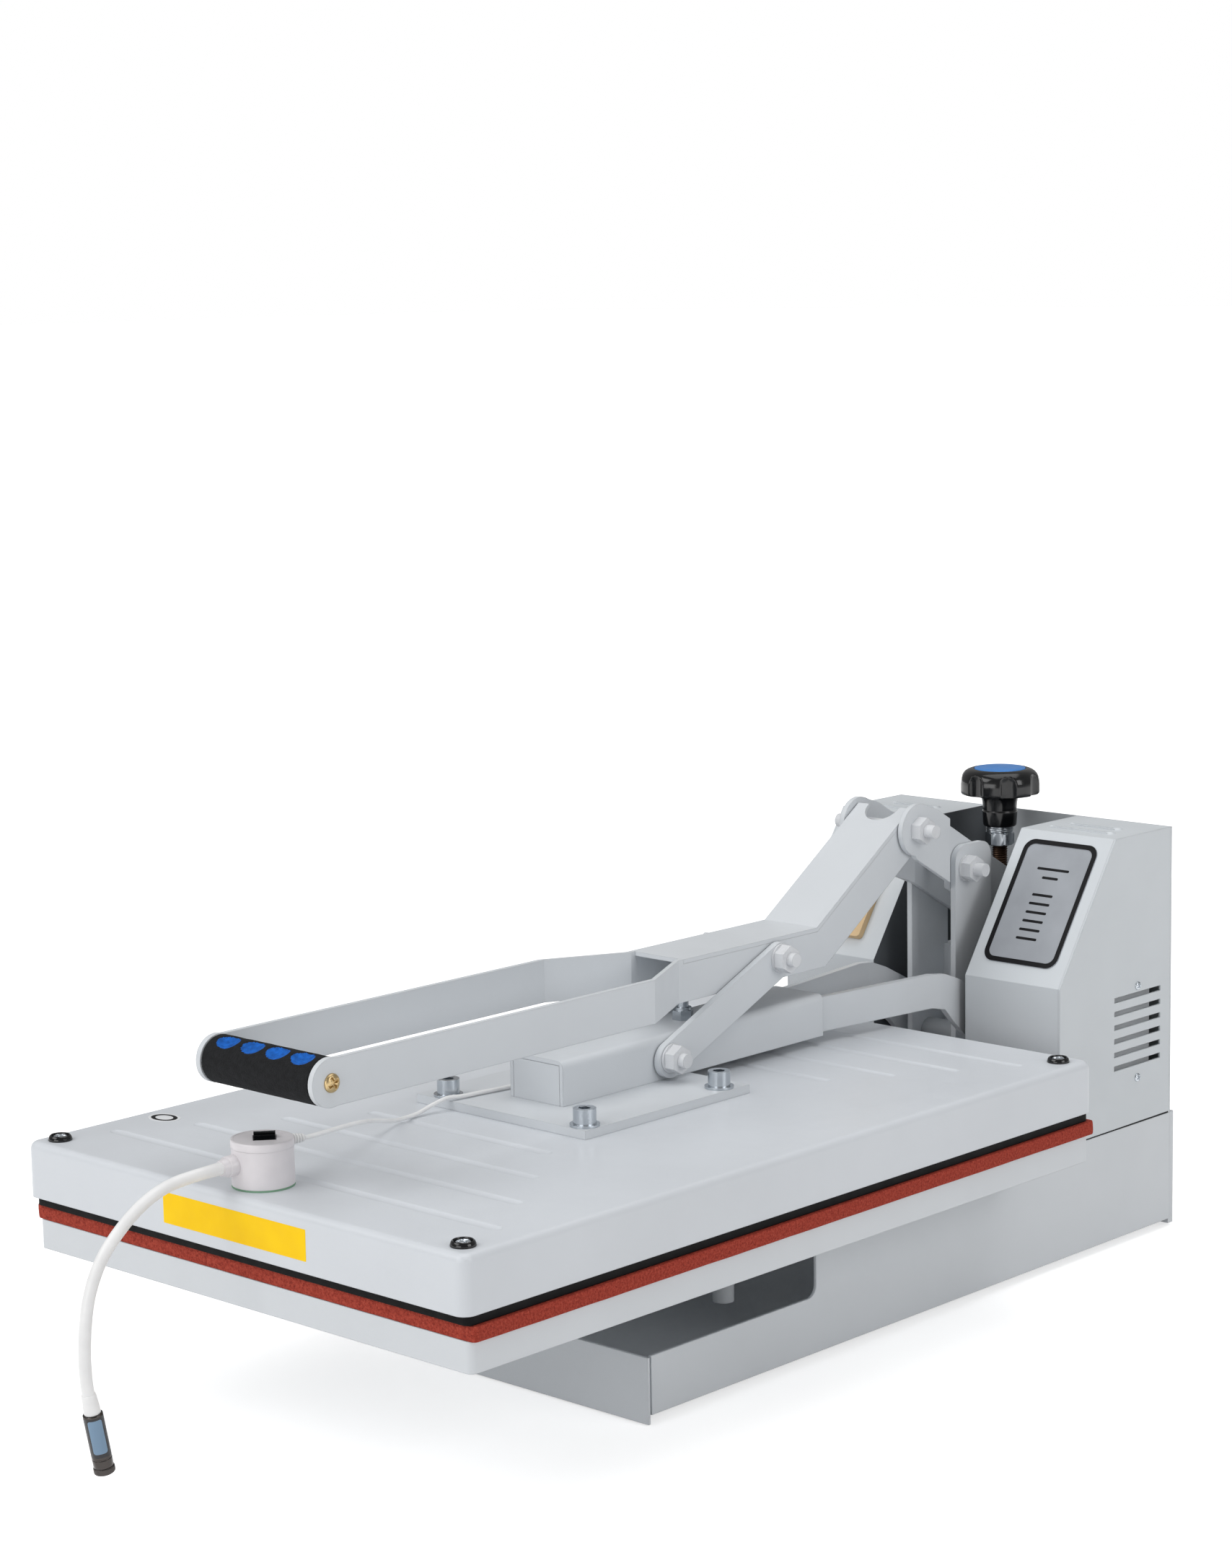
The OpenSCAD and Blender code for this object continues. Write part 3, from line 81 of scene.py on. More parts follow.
class Mat:
    """A node material with one Principled shader and short ways to add detail."""

    def __init__(self, name, color, rough=0.5, metal=0.0, spec=0.5):
        self.m = bpy.data.materials.new(name)
        self.m.use_nodes = True
        self.t = self.m.node_tree
        self.b = self.t.nodes["Principled BSDF"]
        self.b.inputs["Base Color"].default_value = color
        self.b.inputs["Roughness"].default_value = rough
        self.b.inputs["Metallic"].default_value = metal
        self.b.inputs["Specular IOR Level"].default_value = spec
        self.color = color
        self.place = self.t.nodes.new("ShaderNodeTexCoord").outputs["Object"]
        self.normal = None

    def node(self, kind, **values):
        n = self.t.nodes.new(kind)
        for k, v in values.items():
            if k in n.inputs:
                n.inputs[k].default_value = v
            else:
                setattr(n, k, v)
        return n

    def link(self, a, b):
        self.t.links.new(a, b)

    def noise(self, scale, detail=3.0, rough=0.5):
        n = self.node("ShaderNodeTexNoise", Scale=scale, Detail=detail, Roughness=rough)
        self.link(self.place, n.inputs["Vector"])
        return n.outputs["Fac"]

    def cells(self, scale):
        n = self.node("ShaderNodeTexVoronoi", Scale=scale)
        self.link(self.place, n.inputs["Vector"])
        return n.outputs["Distance"]

    def ramp(self, fac, stops):
        n = self.node("ShaderNodeValToRGB")
        e = n.color_ramp.elements
        while len(e) > 1:
            e.remove(e[-1])
        e[0].position, e[0].color = stops[0]
        for p, c in stops[1:]:
            e.new(p).color = c
        self.link(fac, n.inputs["Fac"])
        return n.outputs["Color"]

    def mix(self, fac, a, b, blend="MIX"):
        n = self.node("ShaderNodeMix", data_type="RGBA", blend_type=blend)
        for k, v in zip((0, 6, 7), (fac, a, b)):
            if isinstance(v, (int, float, tuple)):
                n.inputs[k].default_value = v
            else:
                self.link(v, n.inputs[k])
        return n.outputs[2]

    def paint(self, color):
        self.link(color, self.b.inputs["Base Color"])
        return self

    def vary(self, scale, low, high, detail=3.0):
        """The base colour wanders between two shares of itself."""
        c = self.color
        a = (c[0] * low, c[1] * low, c[2] * low, 1.0)
        b = (min(c[0] * high, 1), min(c[1] * high, 1), min(c[2] * high, 1), 1.0)
        return self.paint(self.ramp(self.noise(scale, detail), [(0.3, a), (0.7, b)]))

    def gloss(self, scale, low, high):
        """The roughness wanders between two values."""
        n = self.node("ShaderNodeMapRange")
        n.inputs["From Min"].default_value = 0.3
        n.inputs["From Max"].default_value = 0.7
        n.inputs["To Min"].default_value = low
        n.inputs["To Max"].default_value = high
        self.link(self.noise(scale), n.inputs["Value"])
        self.link(n.outputs["Result"], self.b.inputs["Roughness"])
        return self

    def soft_edges(self, radius):
        n = self.node("ShaderNodeBevel")
        n.samples = 4
        n.inputs["Radius"].default_value = radius
        self.normal = n.outputs["Normal"]
        self.link(self.normal, self.b.inputs["Normal"])
        return self

    def bump(self, height, strength, distance):
        n = self.node("ShaderNodeBump", Strength=strength, Distance=distance)
        self.link(height, n.inputs["Height"])
        if self.normal is not None:
            self.link(self.normal, n.inputs["Normal"])
        self.normal = n.outputs["Normal"]
        self.link(self.normal, self.b.inputs["Normal"])
        return self


WHITE = srgb(209, 213, 217)


def coated(name, color=WHITE, rough=0.42, edge=0.0009):
    """Powder coat: a fine orange peel, a slow drift of tone and softened edges."""
    m = Mat(name, color, rough, spec=0.45)
    m.vary(9.0, 0.975, 1.02)
    m.gloss(60.0, rough - 0.05, rough + 0.06)
    m.soft_edges(edge)
    m.bump(m.noise(520.0, 2.0), 0.10, 0.0006)
    return m.m


def metal(name, color, rough, scale=24.0, edge=0.0004):
    m = Mat(name, color, rough, metal=1.0)
    m.vary(scale, 0.92, 1.04)
    m.gloss(scale * 2, rough - 0.05, rough + 0.07)
    m.soft_edges(edge)
    return m.m


def moulded(name, color, rough, grain=0.05, edge=0.0006, spec=0.5):
    m = Mat(name, color, rough, spec=spec)
    m.vary(40.0, 0.94, 1.06)
    m.gloss(120.0, max(rough - 0.05, 0.03), rough + 0.05)
    m.soft_edges(edge)
    m.bump(m.noise(1400.0, 2.0), grain, 0.0003)
    return m.m


def sponge():
    m = Mat("silicone_sponge", srgb(152, 64, 52), 0.85, spec=0.2)
    speck = m.ramp(m.noise(650.0, 4.0, 0.7), [(0.35, srgb(128, 42, 32)), (0.5, srgb(158, 60, 46)),
                                              (0.68, srgb(176, 76, 60))])
    pores = m.cells(900.0)
    # painted shade: the colour is darkened in the pits of the pores
    dark = m.ramp(pores, [(0.10, (0.45, 0.45, 0.45, 1)), (0.28, (1, 1, 1, 1))])
    m.paint(m.mix(1.0, speck, dark, "MULTIPLY"))
    m.bump(pores, 0.5, 0.0006)
    m.bump(m.noise(320.0, 4.0), 0.4, 0.0008)
    return m.m


def foam(name, color, scale=900.0):
    m = Mat(name, color, 0.9, spec=0.25)
    m.vary(300.0, 0.7, 1.35, 4.0)
    m.bump(m.cells(scale), 0.6, 0.0005)
    m.bump(m.noise(260.0, 4.0), 0.35, 0.0006)
    return m.m


M = {
    "paint": coated("powder_coat"),
    "paint_cover": coated("powder_coat_cover", srgb(210, 214, 219), 0.36),
    "paint_inner": coated("powder_coat_inner", srgb(150, 154, 158), 0.5),
    "paint_box": coated("powder_coat_box", srgb(207, 212, 216), 0.45),
    "nut_paint": coated("painted_hardware", srgb(214, 216, 219), 0.3, 0.0006),
    "zinc": metal("zinc_plate", srgb(196, 202, 208), 0.24),
    "steel": metal("oiled_steel", srgb(84, 66, 54), 0.36, 60.0),
    "chrome": metal("dark_chrome", srgb(78, 74, 72), 0.14, 30.0),
    "brass": metal("brass", srgb(196, 172, 128), 0.30),
    "sponge": sponge(),
    "black_coat": moulded("black_coating", srgb(10, 10, 11), 0.6, 0.1, spec=0.12),
    "rubber": moulded("black_rubber", srgb(26, 26, 27), 0.7, 0.15),
    "black": moulded("black_plastic", srgb(8, 9, 11), 0.17, 0.02, 0.0008),
    "foam": foam("black_foam", srgb(24, 25, 27)),
    "foam_blue": foam("blue_foam", srgb(22, 92, 178), 1300.0),
    "blue": moulded("blue_plastic", srgb(58, 128, 202), 0.35, 0.04),
    "white": moulded("white_plastic", srgb(222, 218, 221), 0.34, 0.03),
    "hose": moulded("white_sleeve", srgb(236, 236, 236), 0.42, 0.05),
    "tan": moulded("tan_plastic", srgb(214, 184, 140), 0.5, 0.08),
    "display": moulded("display_window", srgb(12, 13, 14), 0.1, 0.0),
    "button": moulded("button_plastic", srgb(200, 203, 206), 0.5, 0.08),
    "green": moulded("green_magnet", srgb(120, 160, 132), 0.6, 0.1),
    "wool": foam("insulation", srgb(206, 198, 174), 500.0),
    "plate": moulded("printed_plate", srgb(158, 162, 168), 0.4, 0.02, 0.0002, spec=0.3),
    "gloss_black": moulded("black_gloss", srgb(14, 14, 16), 0.14, 0.02, 0.0004),
    "wrap": moulded("dark_wrap", srgb(30, 30, 34), 0.3, 0.02, 0.0001),
    "label_blue": moulded("plain_label", srgb(118, 146, 172), 0.35, 0.02, 0.0001),
    "yellow": moulded("plain_yellow", srgb(255, 204, 0), 0.5, 0.03, 0.0001, spec=0.2),
    "sticker": moulded("white_sticker", srgb(226, 228, 230), 0.4, 0.02, 0.0001),
    "ink": moulded("dark_ink", srgb(22, 22, 24), 0.5, 0.02, 0.0001, spec=0.15),
    # painted shade: a darker grey for the boxes' walls toward the linkage
    "shade": coated("painted_shade_inner_walls", srgb(84, 88, 92), 0.6),
}

LOOKS = {
    "paint": "front_plate base_trough rear_plate lower_platen uprights arm_channel arm_end_plate arm_straps"
             " mounting_plate links handle_sides handle_top rocker_cheeks",
    "paint_cover": "upper_cover",
    "paint_box": "control_box_shells side_panels rear_cover",
    "paint_inner": "platen_rails spacer_tube rocker_trunnion",
    "nut_paint": "rocker_bolt link_lower_bolt link_upper_bolts handle_pivot_bolt",
    "zinc": "box_screws pivot_shaft cap_screws cover_screws stop_bolt",
    "steel": "pressure_screw heating_element",
    "chrome": "laser_module laser_cap",
    "brass": "grip_bolt",
    "sponge": "silicone_pad",
    "black_coat": "heater_plate",
    "rubber": "rubber_feet cover_cups",
    "black": "pressure_knob power_inlet power_switch laser_switch",
    "foam": "foam_grip",
    "foam_blue": "grip_inserts",
    "blue": "knob_cap",
    "white": "laser_housing gooseneck_collar strain_relief",
    "hose": "gooseneck laser_sleeve laser_cord",
    "tan": "controller_bezel",
    "display": "controller_display",
    "button": "button_1 button_2 button_3 button_4",
    "green": "laser_magnet",
    "wool": "insulation_blanket",
    "plate": "conversion_plate",
}


def smooth_faces(mesh, angle):
    """Round faces shade smooth and corners stay sharp."""
    mesh.shade_smooth()
    mesh.set_sharp_from_angle(angle=math.radians(angle))


def give(obj, material):
    obj.data.materials.clear()
    obj.data.materials.append(material)


for key, names in LOOKS.items():
    for name in names.split():
        give(nodes[name], M[key])


# The boxes' walls toward the linkage are darker: painted shade for the shade that falls between the boxes

BOX_INNER_X = 0.0429


def shade(name):
    obj = nodes[name]
    obj.data.materials.append(M["shade"])
    # the wall faces toward the linkage get the painted shade
    for poly in obj.data.polygons:
        if abs(poly.center.x) < BOX_INNER_X and abs(poly.normal.x) > 0.9:
            poly.material_index = 1


for name in ("control_box_shells", "side_panels"):
    shade(name)

# Tools for the pieces, in millimetres

MM = 0.001


def smoothed(points, per):
    """Catmull-Rom curve through points, with per steps between two of them."""
    p = [Vector(q) for q in points]
    out = []
    for k in range(len(p) - 1):
        a, b, c, d = p[max(k - 1, 0)], p[k], p[k + 1], p[min(k + 2, len(p) - 1)]
        for j in range(per):
            t = j / per
            out.append(0.5 * (2 * b + (c - a) * t + (2 * a - 5 * b + 4 * c - d) * t * t
                              + (3 * b - a - 3 * c + d) * t ** 3))
    out.append(p[-1])
    return out


def add(name, verts, faces, material, body, slot=None, stands_for=(), angle=35.0):
    """A new piece from points in millimetres, riding on a body."""
    mesh = bpy.data.meshes.new(name)
    mesh.from_pydata([tuple(c * MM for c in v) for v in verts], [], faces)
    mesh.validate()
    b = bmesh.new()
    b.from_mesh(mesh)
    bmesh.ops.recalc_face_normals(b, faces=b.faces)
    b.to_mesh(mesh)
    b.free()
    obj = bpy.data.objects.new(name, mesh)
    scene.collection.objects.link(obj)
    for m in material if isinstance(material, (list, tuple)) else [material]:
        mesh.materials.append(m)
    smooth_faces(mesh, angle)
    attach(obj, body)
    if stands_for:
        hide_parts(*stands_for)
    return obj


def skin(rings, closed_ends=True):
    """Faces between rings of equal length."""
    n = len(rings[0])
    verts = [v for r in rings for v in r]
    faces = []
    for k in range(len(rings) - 1):
        for j in range(n):
            m = (j + 1) % n
            faces.append((k * n + j, k * n + m, (k + 1) * n + m, (k + 1) * n + j))
    if closed_ends:
        faces.append(tuple(range(n - 1, -1, -1)))
        faces.append(tuple((len(rings) - 1) * n + j for j in range(n)))
    return verts, faces


def merge(*parts):
    verts, faces = [], []
    for v, f in parts:
        k = len(verts)
        verts += v
        faces += [tuple(i + k for i in q) for q in f]
    return verts, faces


def basis(axis):
    z = Vector(axis).normalized()
    x = z.orthogonal().normalized()
    return x, z.cross(x), z


def lathe(profile, at, axis=(0, 0, 1), n=64, radius=None):
    """Turns a profile of (radius, height) about an axis; radius may change each point."""
    x, y, z = basis(axis)
    if tuple(axis) == (0, 0, 1):
        x, y = Vector((1, 0, 0)), Vector((0, 1, 0))
    at = Vector(at)
    rings = []
    for r, h in profile:
        ring = []
        for j in range(n):
            t = 2 * math.pi * j / n
            q = radius(r, t, h) if radius else r
            ring.append(at + x * (q * math.cos(t)) + y * (q * math.sin(t)) + z * h)
        rings.append(ring)
    return skin(rings)


def tube(points, radius, n=20, up=(1, 0, 0)):
    """A round tube along points; radius is a number or one for each point."""
    rings = []
    last = Vector(up)
    for k, p in enumerate(points):
        t = (points[min(k + 1, len(points) - 1)] - points[max(k - 1, 0)]).normalized()
        x = (last - t * last.dot(t)).normalized()
        y = t.cross(x)
        last = x
        r = radius[k] if isinstance(radius, (list, tuple)) else radius
        rings.append([p + x * (r * math.cos(2 * math.pi * j / n)) + y * (r * math.sin(2 * math.pi * j / n))
                      for j in range(n)])
    return skin(rings)


def outline(x0, x1, y0, y1, r, step=6.0, arc=8):
    """Rounded rectangle as (x, y, outward x, outward y), counter-clockwise."""
    out = []
    corners = [(x1 - r, y0 + r, -90), (x1 - r, y1 - r, 0), (x0 + r, y1 - r, 90), (x0 + r, y0 + r, 180)]
    for k, (cx, cy, a0) in enumerate(corners):
        for j in range(arc + 1):
            a = math.radians(a0 + 90 * j / arc)
            out.append((cx + r * math.cos(a), cy + r * math.sin(a), math.cos(a), math.sin(a)))
        nx, ny, _ = corners[(k + 1) % 4]
        px, py, ux, uy = out[-1]
        qx, qy = nx + r * ux, ny + r * uy
        count = max(int(math.hypot(qx - px, qy - py) / step), 1)
        for j in range(1, count):
            out.append((px + (qx - px) * j / count, py + (qy - py) * j / count, ux, uy))
    return out


def slab(edge, levels, wander=0.0, scale=0.05):
    """A flat body from an outline; levels are (height, inset)."""
    rings = []
    for z, inset in levels:
        ring = []
        for x, y, ux, uy in edge:
            w = wander * noise.noise(Vector((x * scale, y * scale, z * scale * 3)))
            ring.append(Vector((x - ux * (inset + w), y - uy * (inset + w), z)))
        rings.append(ring)
    return skin(rings)


def soft_min(a, b, k):
    h = max(k - abs(a - b), 0.0) / k
    return min(a, b) - h * h * k * 0.25


# Sponge pad between the platens

def make_pad():
    edge = outline(-200, 200, -510, 90, 4, 5.0)
    z = 124.0
    levels = [(z, 0.9), (z + 0.25, 0.35), (z + 1.0, 0.1), (z + 3.2, 0.0), (z + 6.0, 0.0),
              (z + 8.5, 0.1), (z + 9.25, 0.35), (z + 9.5, 0.9)]
    v, f = slab(edge, levels, 0.35)
    pad = add("sponge_pad", v, f, M["sponge"], "frame", "pad_red", ["silicone_pad"])


# Foam grip with four finger hollows that show its blue inner layer

GRIP = (-480.0, 245.77)


def make_grip():
    handle_z = GRIP[1]
    half, big = 48.6, 15.0
    pitch, tilt = 22.5, math.radians(20)
    deep, wide = 27.8, 16.0
    steps_x, steps_t = 216, 150
    rows, depth = [], []
    for i in range(steps_x + 1):
        x = -half + 2 * half * i / steps_x
        near = min(half - abs(x), 2.0) / 2.0
        radius = big - 1.1 * (1 - math.sqrt(max(1 - (1 - near) ** 2, 0)))
        row, marks = [], []
        for j in range(steps_t):
            t = 2 * math.pi * j / steps_t
            r = radius
            for k in range(4):
                dx = x - (k - 1.5) * pitch
                da = math.atan2(math.sin(t - tilt), math.cos(t - tilt))
                if abs(da) < 1.2:
                    under = wide ** 2 - dx * dx - (deep * math.sin(da)) ** 2
                    if under > 0:
                        r = soft_min(r, deep * math.cos(da) - math.sqrt(under), 0.9)
            marks.append(radius - r)
            wob = 0.12 * noise.noise(Vector((x * 0.16, 5 * math.cos(t), 5 * math.sin(t))))
            r += wob
            row.append(Vector((x, GRIP[0] - r * math.sin(t), handle_z + r * math.cos(t))))
        rows.append(row)
        depth.append(marks)
    verts = [v for row in rows for v in row]
    black, blue = [], []
    for i in range(steps_x):
        for j in range(steps_t):
            m = (j + 1) % steps_t
            q = (i * steps_t + j, i * steps_t + m, (i + 1) * steps_t + m, (i + 1) * steps_t + j)
            d = (depth[i][j] + depth[i + 1][m]) / 2
            edge = 0.55 + 0.25 * noise.noise(Vector((i * 0.35, j * 0.35, 3.0)))
            (blue if d > edge else black).append(q)
    hole = 3.9
    ends = []
    for i in (0, steps_x):
        k = len(verts)
        verts += [Vector((rows[i][0].x, GRIP[0] - hole * math.sin(2 * math.pi * j / steps_t),
                          handle_z + hole * math.cos(2 * math.pi * j / steps_t))) for j in range(steps_t)]
        ends.append(k)
        for j in range(steps_t):
            m = (j + 1) % steps_t
            black.append((i * steps_t + j, i * steps_t + m, k + m, k + j))
    for j in range(steps_t):
        m = (j + 1) % steps_t
        black.append((ends[0] + j, ends[0] + m, ends[1] + m, ends[1] + j))

    def part(name, faces, material, slot, stands_for):
        used = sorted({i for q in faces for i in q})
        at = {i: k for k, i in enumerate(used)}
        obj = add(name, [verts[i] for i in used], [tuple(at[i] for i in q) for q in faces],
                  material, "handle", slot, [stands_for], 60)

    part("grip_foam", black, M["foam"], "foam_black", "foam_grip")
    part("grip_hollows", blue, M["foam_blue"], "foam_blue", "grip_inserts")



# Star knob with rounded flutes, its cap and the screw under it

KNOB_Y, KNOB_Z = 249.5, 298.0
LOBES = 7


def make_knob():
    top = KNOB_Z + 44.0
    rim = KNOB_Z + 24.5
    z_t, centre, cut = top - 7.6, 34.5, 8.4
    first = math.radians(-40.7)

    def fluted(r, t, h):
        """Cuts a round flute between two lobes, rolled in toward the top."""
        under = cut ** 2 - max(h - z_t, 0) ** 2
        if under <= 0 or r < 16:
            return r
        pitch = 2 * math.pi / LOBES
        da = (t - first + pitch / 2) % pitch - pitch / 2
        q = under - (centre * math.sin(da)) ** 2
        if q <= 0:
            return r
        return soft_min(r, centre * math.cos(da) - math.sqrt(q), 0.8)

    key = [(0, top - 2.2), (19.3, top - 2.2), (19.5, top - 0.7), (19.8, top - 0.25), (20.6, top - 0.1),
           (22.5, top - 0.5), (24.6, top - 1.3), (26.4, top - 2.5), (27.9, top - 4.1), (29.0, top - 6.2),
           (29.7, top - 8.8), (30.0, top - 11.4), (30.0, rim + 2.2), (29.7, rim + 1.0), (28.9, rim + 0.3),
           (27.8, rim), (24.0, rim), (20.0, rim), (16.4, rim), (15.2, rim - 0.5), (14.4, rim - 1.6),
           (13.7, rim - 3.6), (13.2, rim - 6.2), (12.9, rim - 9.0), (12.75, rim - 11.6), (12.7, rim - 12.2), (13.1, rim - 12.7),
           (13.15, rim - 13.4), (12.9, rim - 17.5), (12.6, rim - 22.8), (12.3, rim - 23.9), (11.6, rim - 24.5),
           (0, rim - 24.5)]
    profile = []
    for (r0, h0), (r1, h1) in zip(key, key[1:]):
        n = max(int(math.hypot(r1 - r0, h1 - h0) / 0.8), 1) if max(r0, r1) > 16 else 1
        profile += [(r0 + (r1 - r0) * k / n, h0 + (h1 - h0) * k / n) for k in range(n)]
    profile.append(key[-1])
    v, f = lathe(profile, (0, KNOB_Y, 0), n=252, radius=fluted)
    add("star_knob", v, f, M["black"], "knob", "plastic_black", ["pressure_knob"], 40)

    cap = [(0, top - 2.1), (19.2, top - 2.1), (19.25, top - 0.3), (18.9, top + 0.15), (18.2, top + 0.35),
           (16.9, top + 0.5), (16.7, top + 0.38), (16.3, top + 0.38), (16.1, top + 0.55), (12, top + 0.8),
           (6, top + 0.98), (0, top + 1.0)]
    v, f = lathe(cap, (0, KNOB_Y, 0), n=96)
    add("cap_disc", v, f, M["blue"], "knob", "plastic_blue", ["knob_cap"])


def make_screw():
    low, high = 212.4, KNOB_Z - 14.0
    pitch, n = 1.75, 28
    count = int((high - low) / (pitch / 7))
    rings = []
    for k in range(count + 1):
        z = low + (high - low) * k / count
        ring = []
        for j in range(n):
            t = 2 * math.pi * j / n
            u = (z / pitch - j / n) % 1.0
            r = 5.95 - 0.95 * (1 - abs(2 * u - 1)) ** 0.8
            r -= max(0.0, 1.2 - (z - low)) * 0.9
            ring.append(Vector((r * math.cos(t), KNOB_Y + r * math.sin(t), z)))
        rings.append(ring)
    v, f = skin(rings)
    add("screw_thread", v, f, M["steel"], "pressure_screw", "steel_dark", ["pressure_screw"], 50)

    def hexagon(r, t, h):
        """Nut: flats 19 mm apart, corners turned down at both ends."""
        a = (t + math.pi / 6) % (math.pi / 3) - math.pi / 6
        flat = 9.5 / math.cos(a)
        return min(flat, r)

    z0 = KNOB_Z - 14.5
    nut = [(6.0, z0), (8.9, z0), (9.6, z0 + 0.25), (11.2, z0 + 1.1), (11.2, z0 + 8.9), (9.6, z0 + 9.75),
           (8.9, z0 + 10.0), (6.0, z0 + 10.0)]
    a = lathe(nut, (0, KNOB_Y, 0), n=72, radius=hexagon)
    z1 = z0 + 10.0
    b = lathe([(6.0, z1), (9.6, z1), (9.8, z1 + 0.2), (9.8, z1 + 1.2), (9.6, z1 + 1.4), (6.0, z1 + 1.4)],
              (0, KNOB_Y, 0), n=64)
    c = lathe([(6.0, z1 + 1.5), (9.9, z1 + 1.5), (10.1, z1 + 1.8), (10.0, z1 + 3.0), (9.2, z1 + 3.3),
               (9.2, z1 + 4.1), (6.0, z1 + 4.1)], (0, KNOB_Y, 0), n=64)
    v, f = merge(a, b, c)
    add("jam_nut", v, f, M["zinc"], "pressure_screw", "galvanised")


# Screw heads with a cross recess

BOX_SCREWS = (88 + 95.3 + 8.5, 88 + 95.3 - 51.0 - 9.5)


def screw_head(at, axis, radius, height, turn=0.3, recess=True):
    x, y, z = basis(axis)
    at = Vector(at)
    n, rows = 60, 16
    rings = [[at + x * (radius * math.cos(2 * math.pi * j / n)) + y * (radius * math.sin(2 * math.pi * j / n))
              for j in range(n)]]
    for k in range(1, rows + 1):
        q = math.pi / 2 * k / rows
        r = radius * math.cos(q) if k < rows else 0.02
        ring = []
        for j in range(n):
            t = 2 * math.pi * j / n
            h = height * math.sin(q) ** 0.8
            if recess:
                u, w = r * math.cos(t + turn), r * math.sin(t + turn)
                arm = radius * 0.13
                slot = radius * 0.55
                d = min(max(abs(u) / slot, abs(w) / arm), max(abs(w) / slot, abs(u) / arm),
                        math.hypot(u, w) / (radius * 0.27))
                h -= height * 0.62 * min(max(1.3 - d, 0) / 0.35, 1)
            ring.append(at + x * (r * math.cos(t)) + y * (r * math.sin(t)) + z * h)
        rings.append(ring)
    return skin(rings)


def make_heads():
    arm_x = 53.0
    both = merge(screw_head((arm_x, GRIP[0], GRIP[1]), (1, 0, 0), 5.9, 3.0),
                 screw_head((-arm_x, GRIP[0], GRIP[1]), (-1, 0, 0), 5.9, 3.0, 0.9),
                 lathe([(3.5, -arm_x), (3.5, arm_x)], (0, GRIP[0], GRIP[1]), (1, 0, 0), 32))
    add("grip_screws", *both, M["brass"], "handle", "brass", ["grip_bolt"], 30)

    cups, heads = [], []
    for x in (-183.4, 183.4):
        for y in (-501.0, 69.5):
            z = 176.0
            cup = [(2.2, z), (7.6, z), (7.75, z + 0.5), (7.5, z + 1.6), (7.0, z + 2.7), (6.5, z + 3.3),
                   (6.1, z + 3.5), (5.7, z + 3.3), (5.5, z + 2.7), (5.3, z + 1.3), (2.2, z + 1.2)]
            cups.append(lathe(cup, (x, y, 0), n=56))
            heads.append(screw_head((x, y, z + 1.3), (0, 0, 1), 5.0, 2.2, x))
            heads.append(lathe([(2.0, z - 12.8), (2.0, z + 1.4)], (x, y, 0), n=20))
    add("corner_cups", *merge(*cups), M["gloss_black"], "arm", "plastic_black", ["cover_cups"], 40)
    add("corner_screws", *merge(*heads), M["zinc"], "arm", "galvanised", ["cover_screws"], 30)

    small = []
    for s in (-1, 1):
        for z in BOX_SCREWS:
            small.append(screw_head((s * 127.0, 247.25, z), (s, 0, 0), 3.2, 1.8, z))
    add("panel_screws", *merge(*small), M["zinc"], "frame", "galvanised", ["box_screws"], 30)


# Laser pointer: gooseneck, sleeve, barrel and cord

LASER_X, LASER_Y, LASER_R = -2.0, -488.0, 19.25
NECK_X, NECK_Y, NECK_Z = -7.0, -517.25, 191.0
NECK = [(0, 0), (10, 0), (22, 0.3), (34, 1.2), (46, 3.6), (58, 8.2), (69, 14.6), (79.5, 22.8), (89, 32.2),
        (96.5, 43.5), (102, 57), (105, 72), (106.4, 87), (106.4, 98), (105.9, 106), (104.8, 113)]
END_TURN = math.radians(101)
END_AXIS = Vector((0, -math.cos(END_TURN), -math.sin(END_TURN)))
NECK_END = Vector((NECK_X, NECK_Y - 104.8, NECK_Z - 113))
RELIEF_Z = 201.6
RELIEF_TIP = 27.25
RELIEF_OUT = Vector((math.cos(math.radians(70)), math.sin(math.radians(70)), 0))


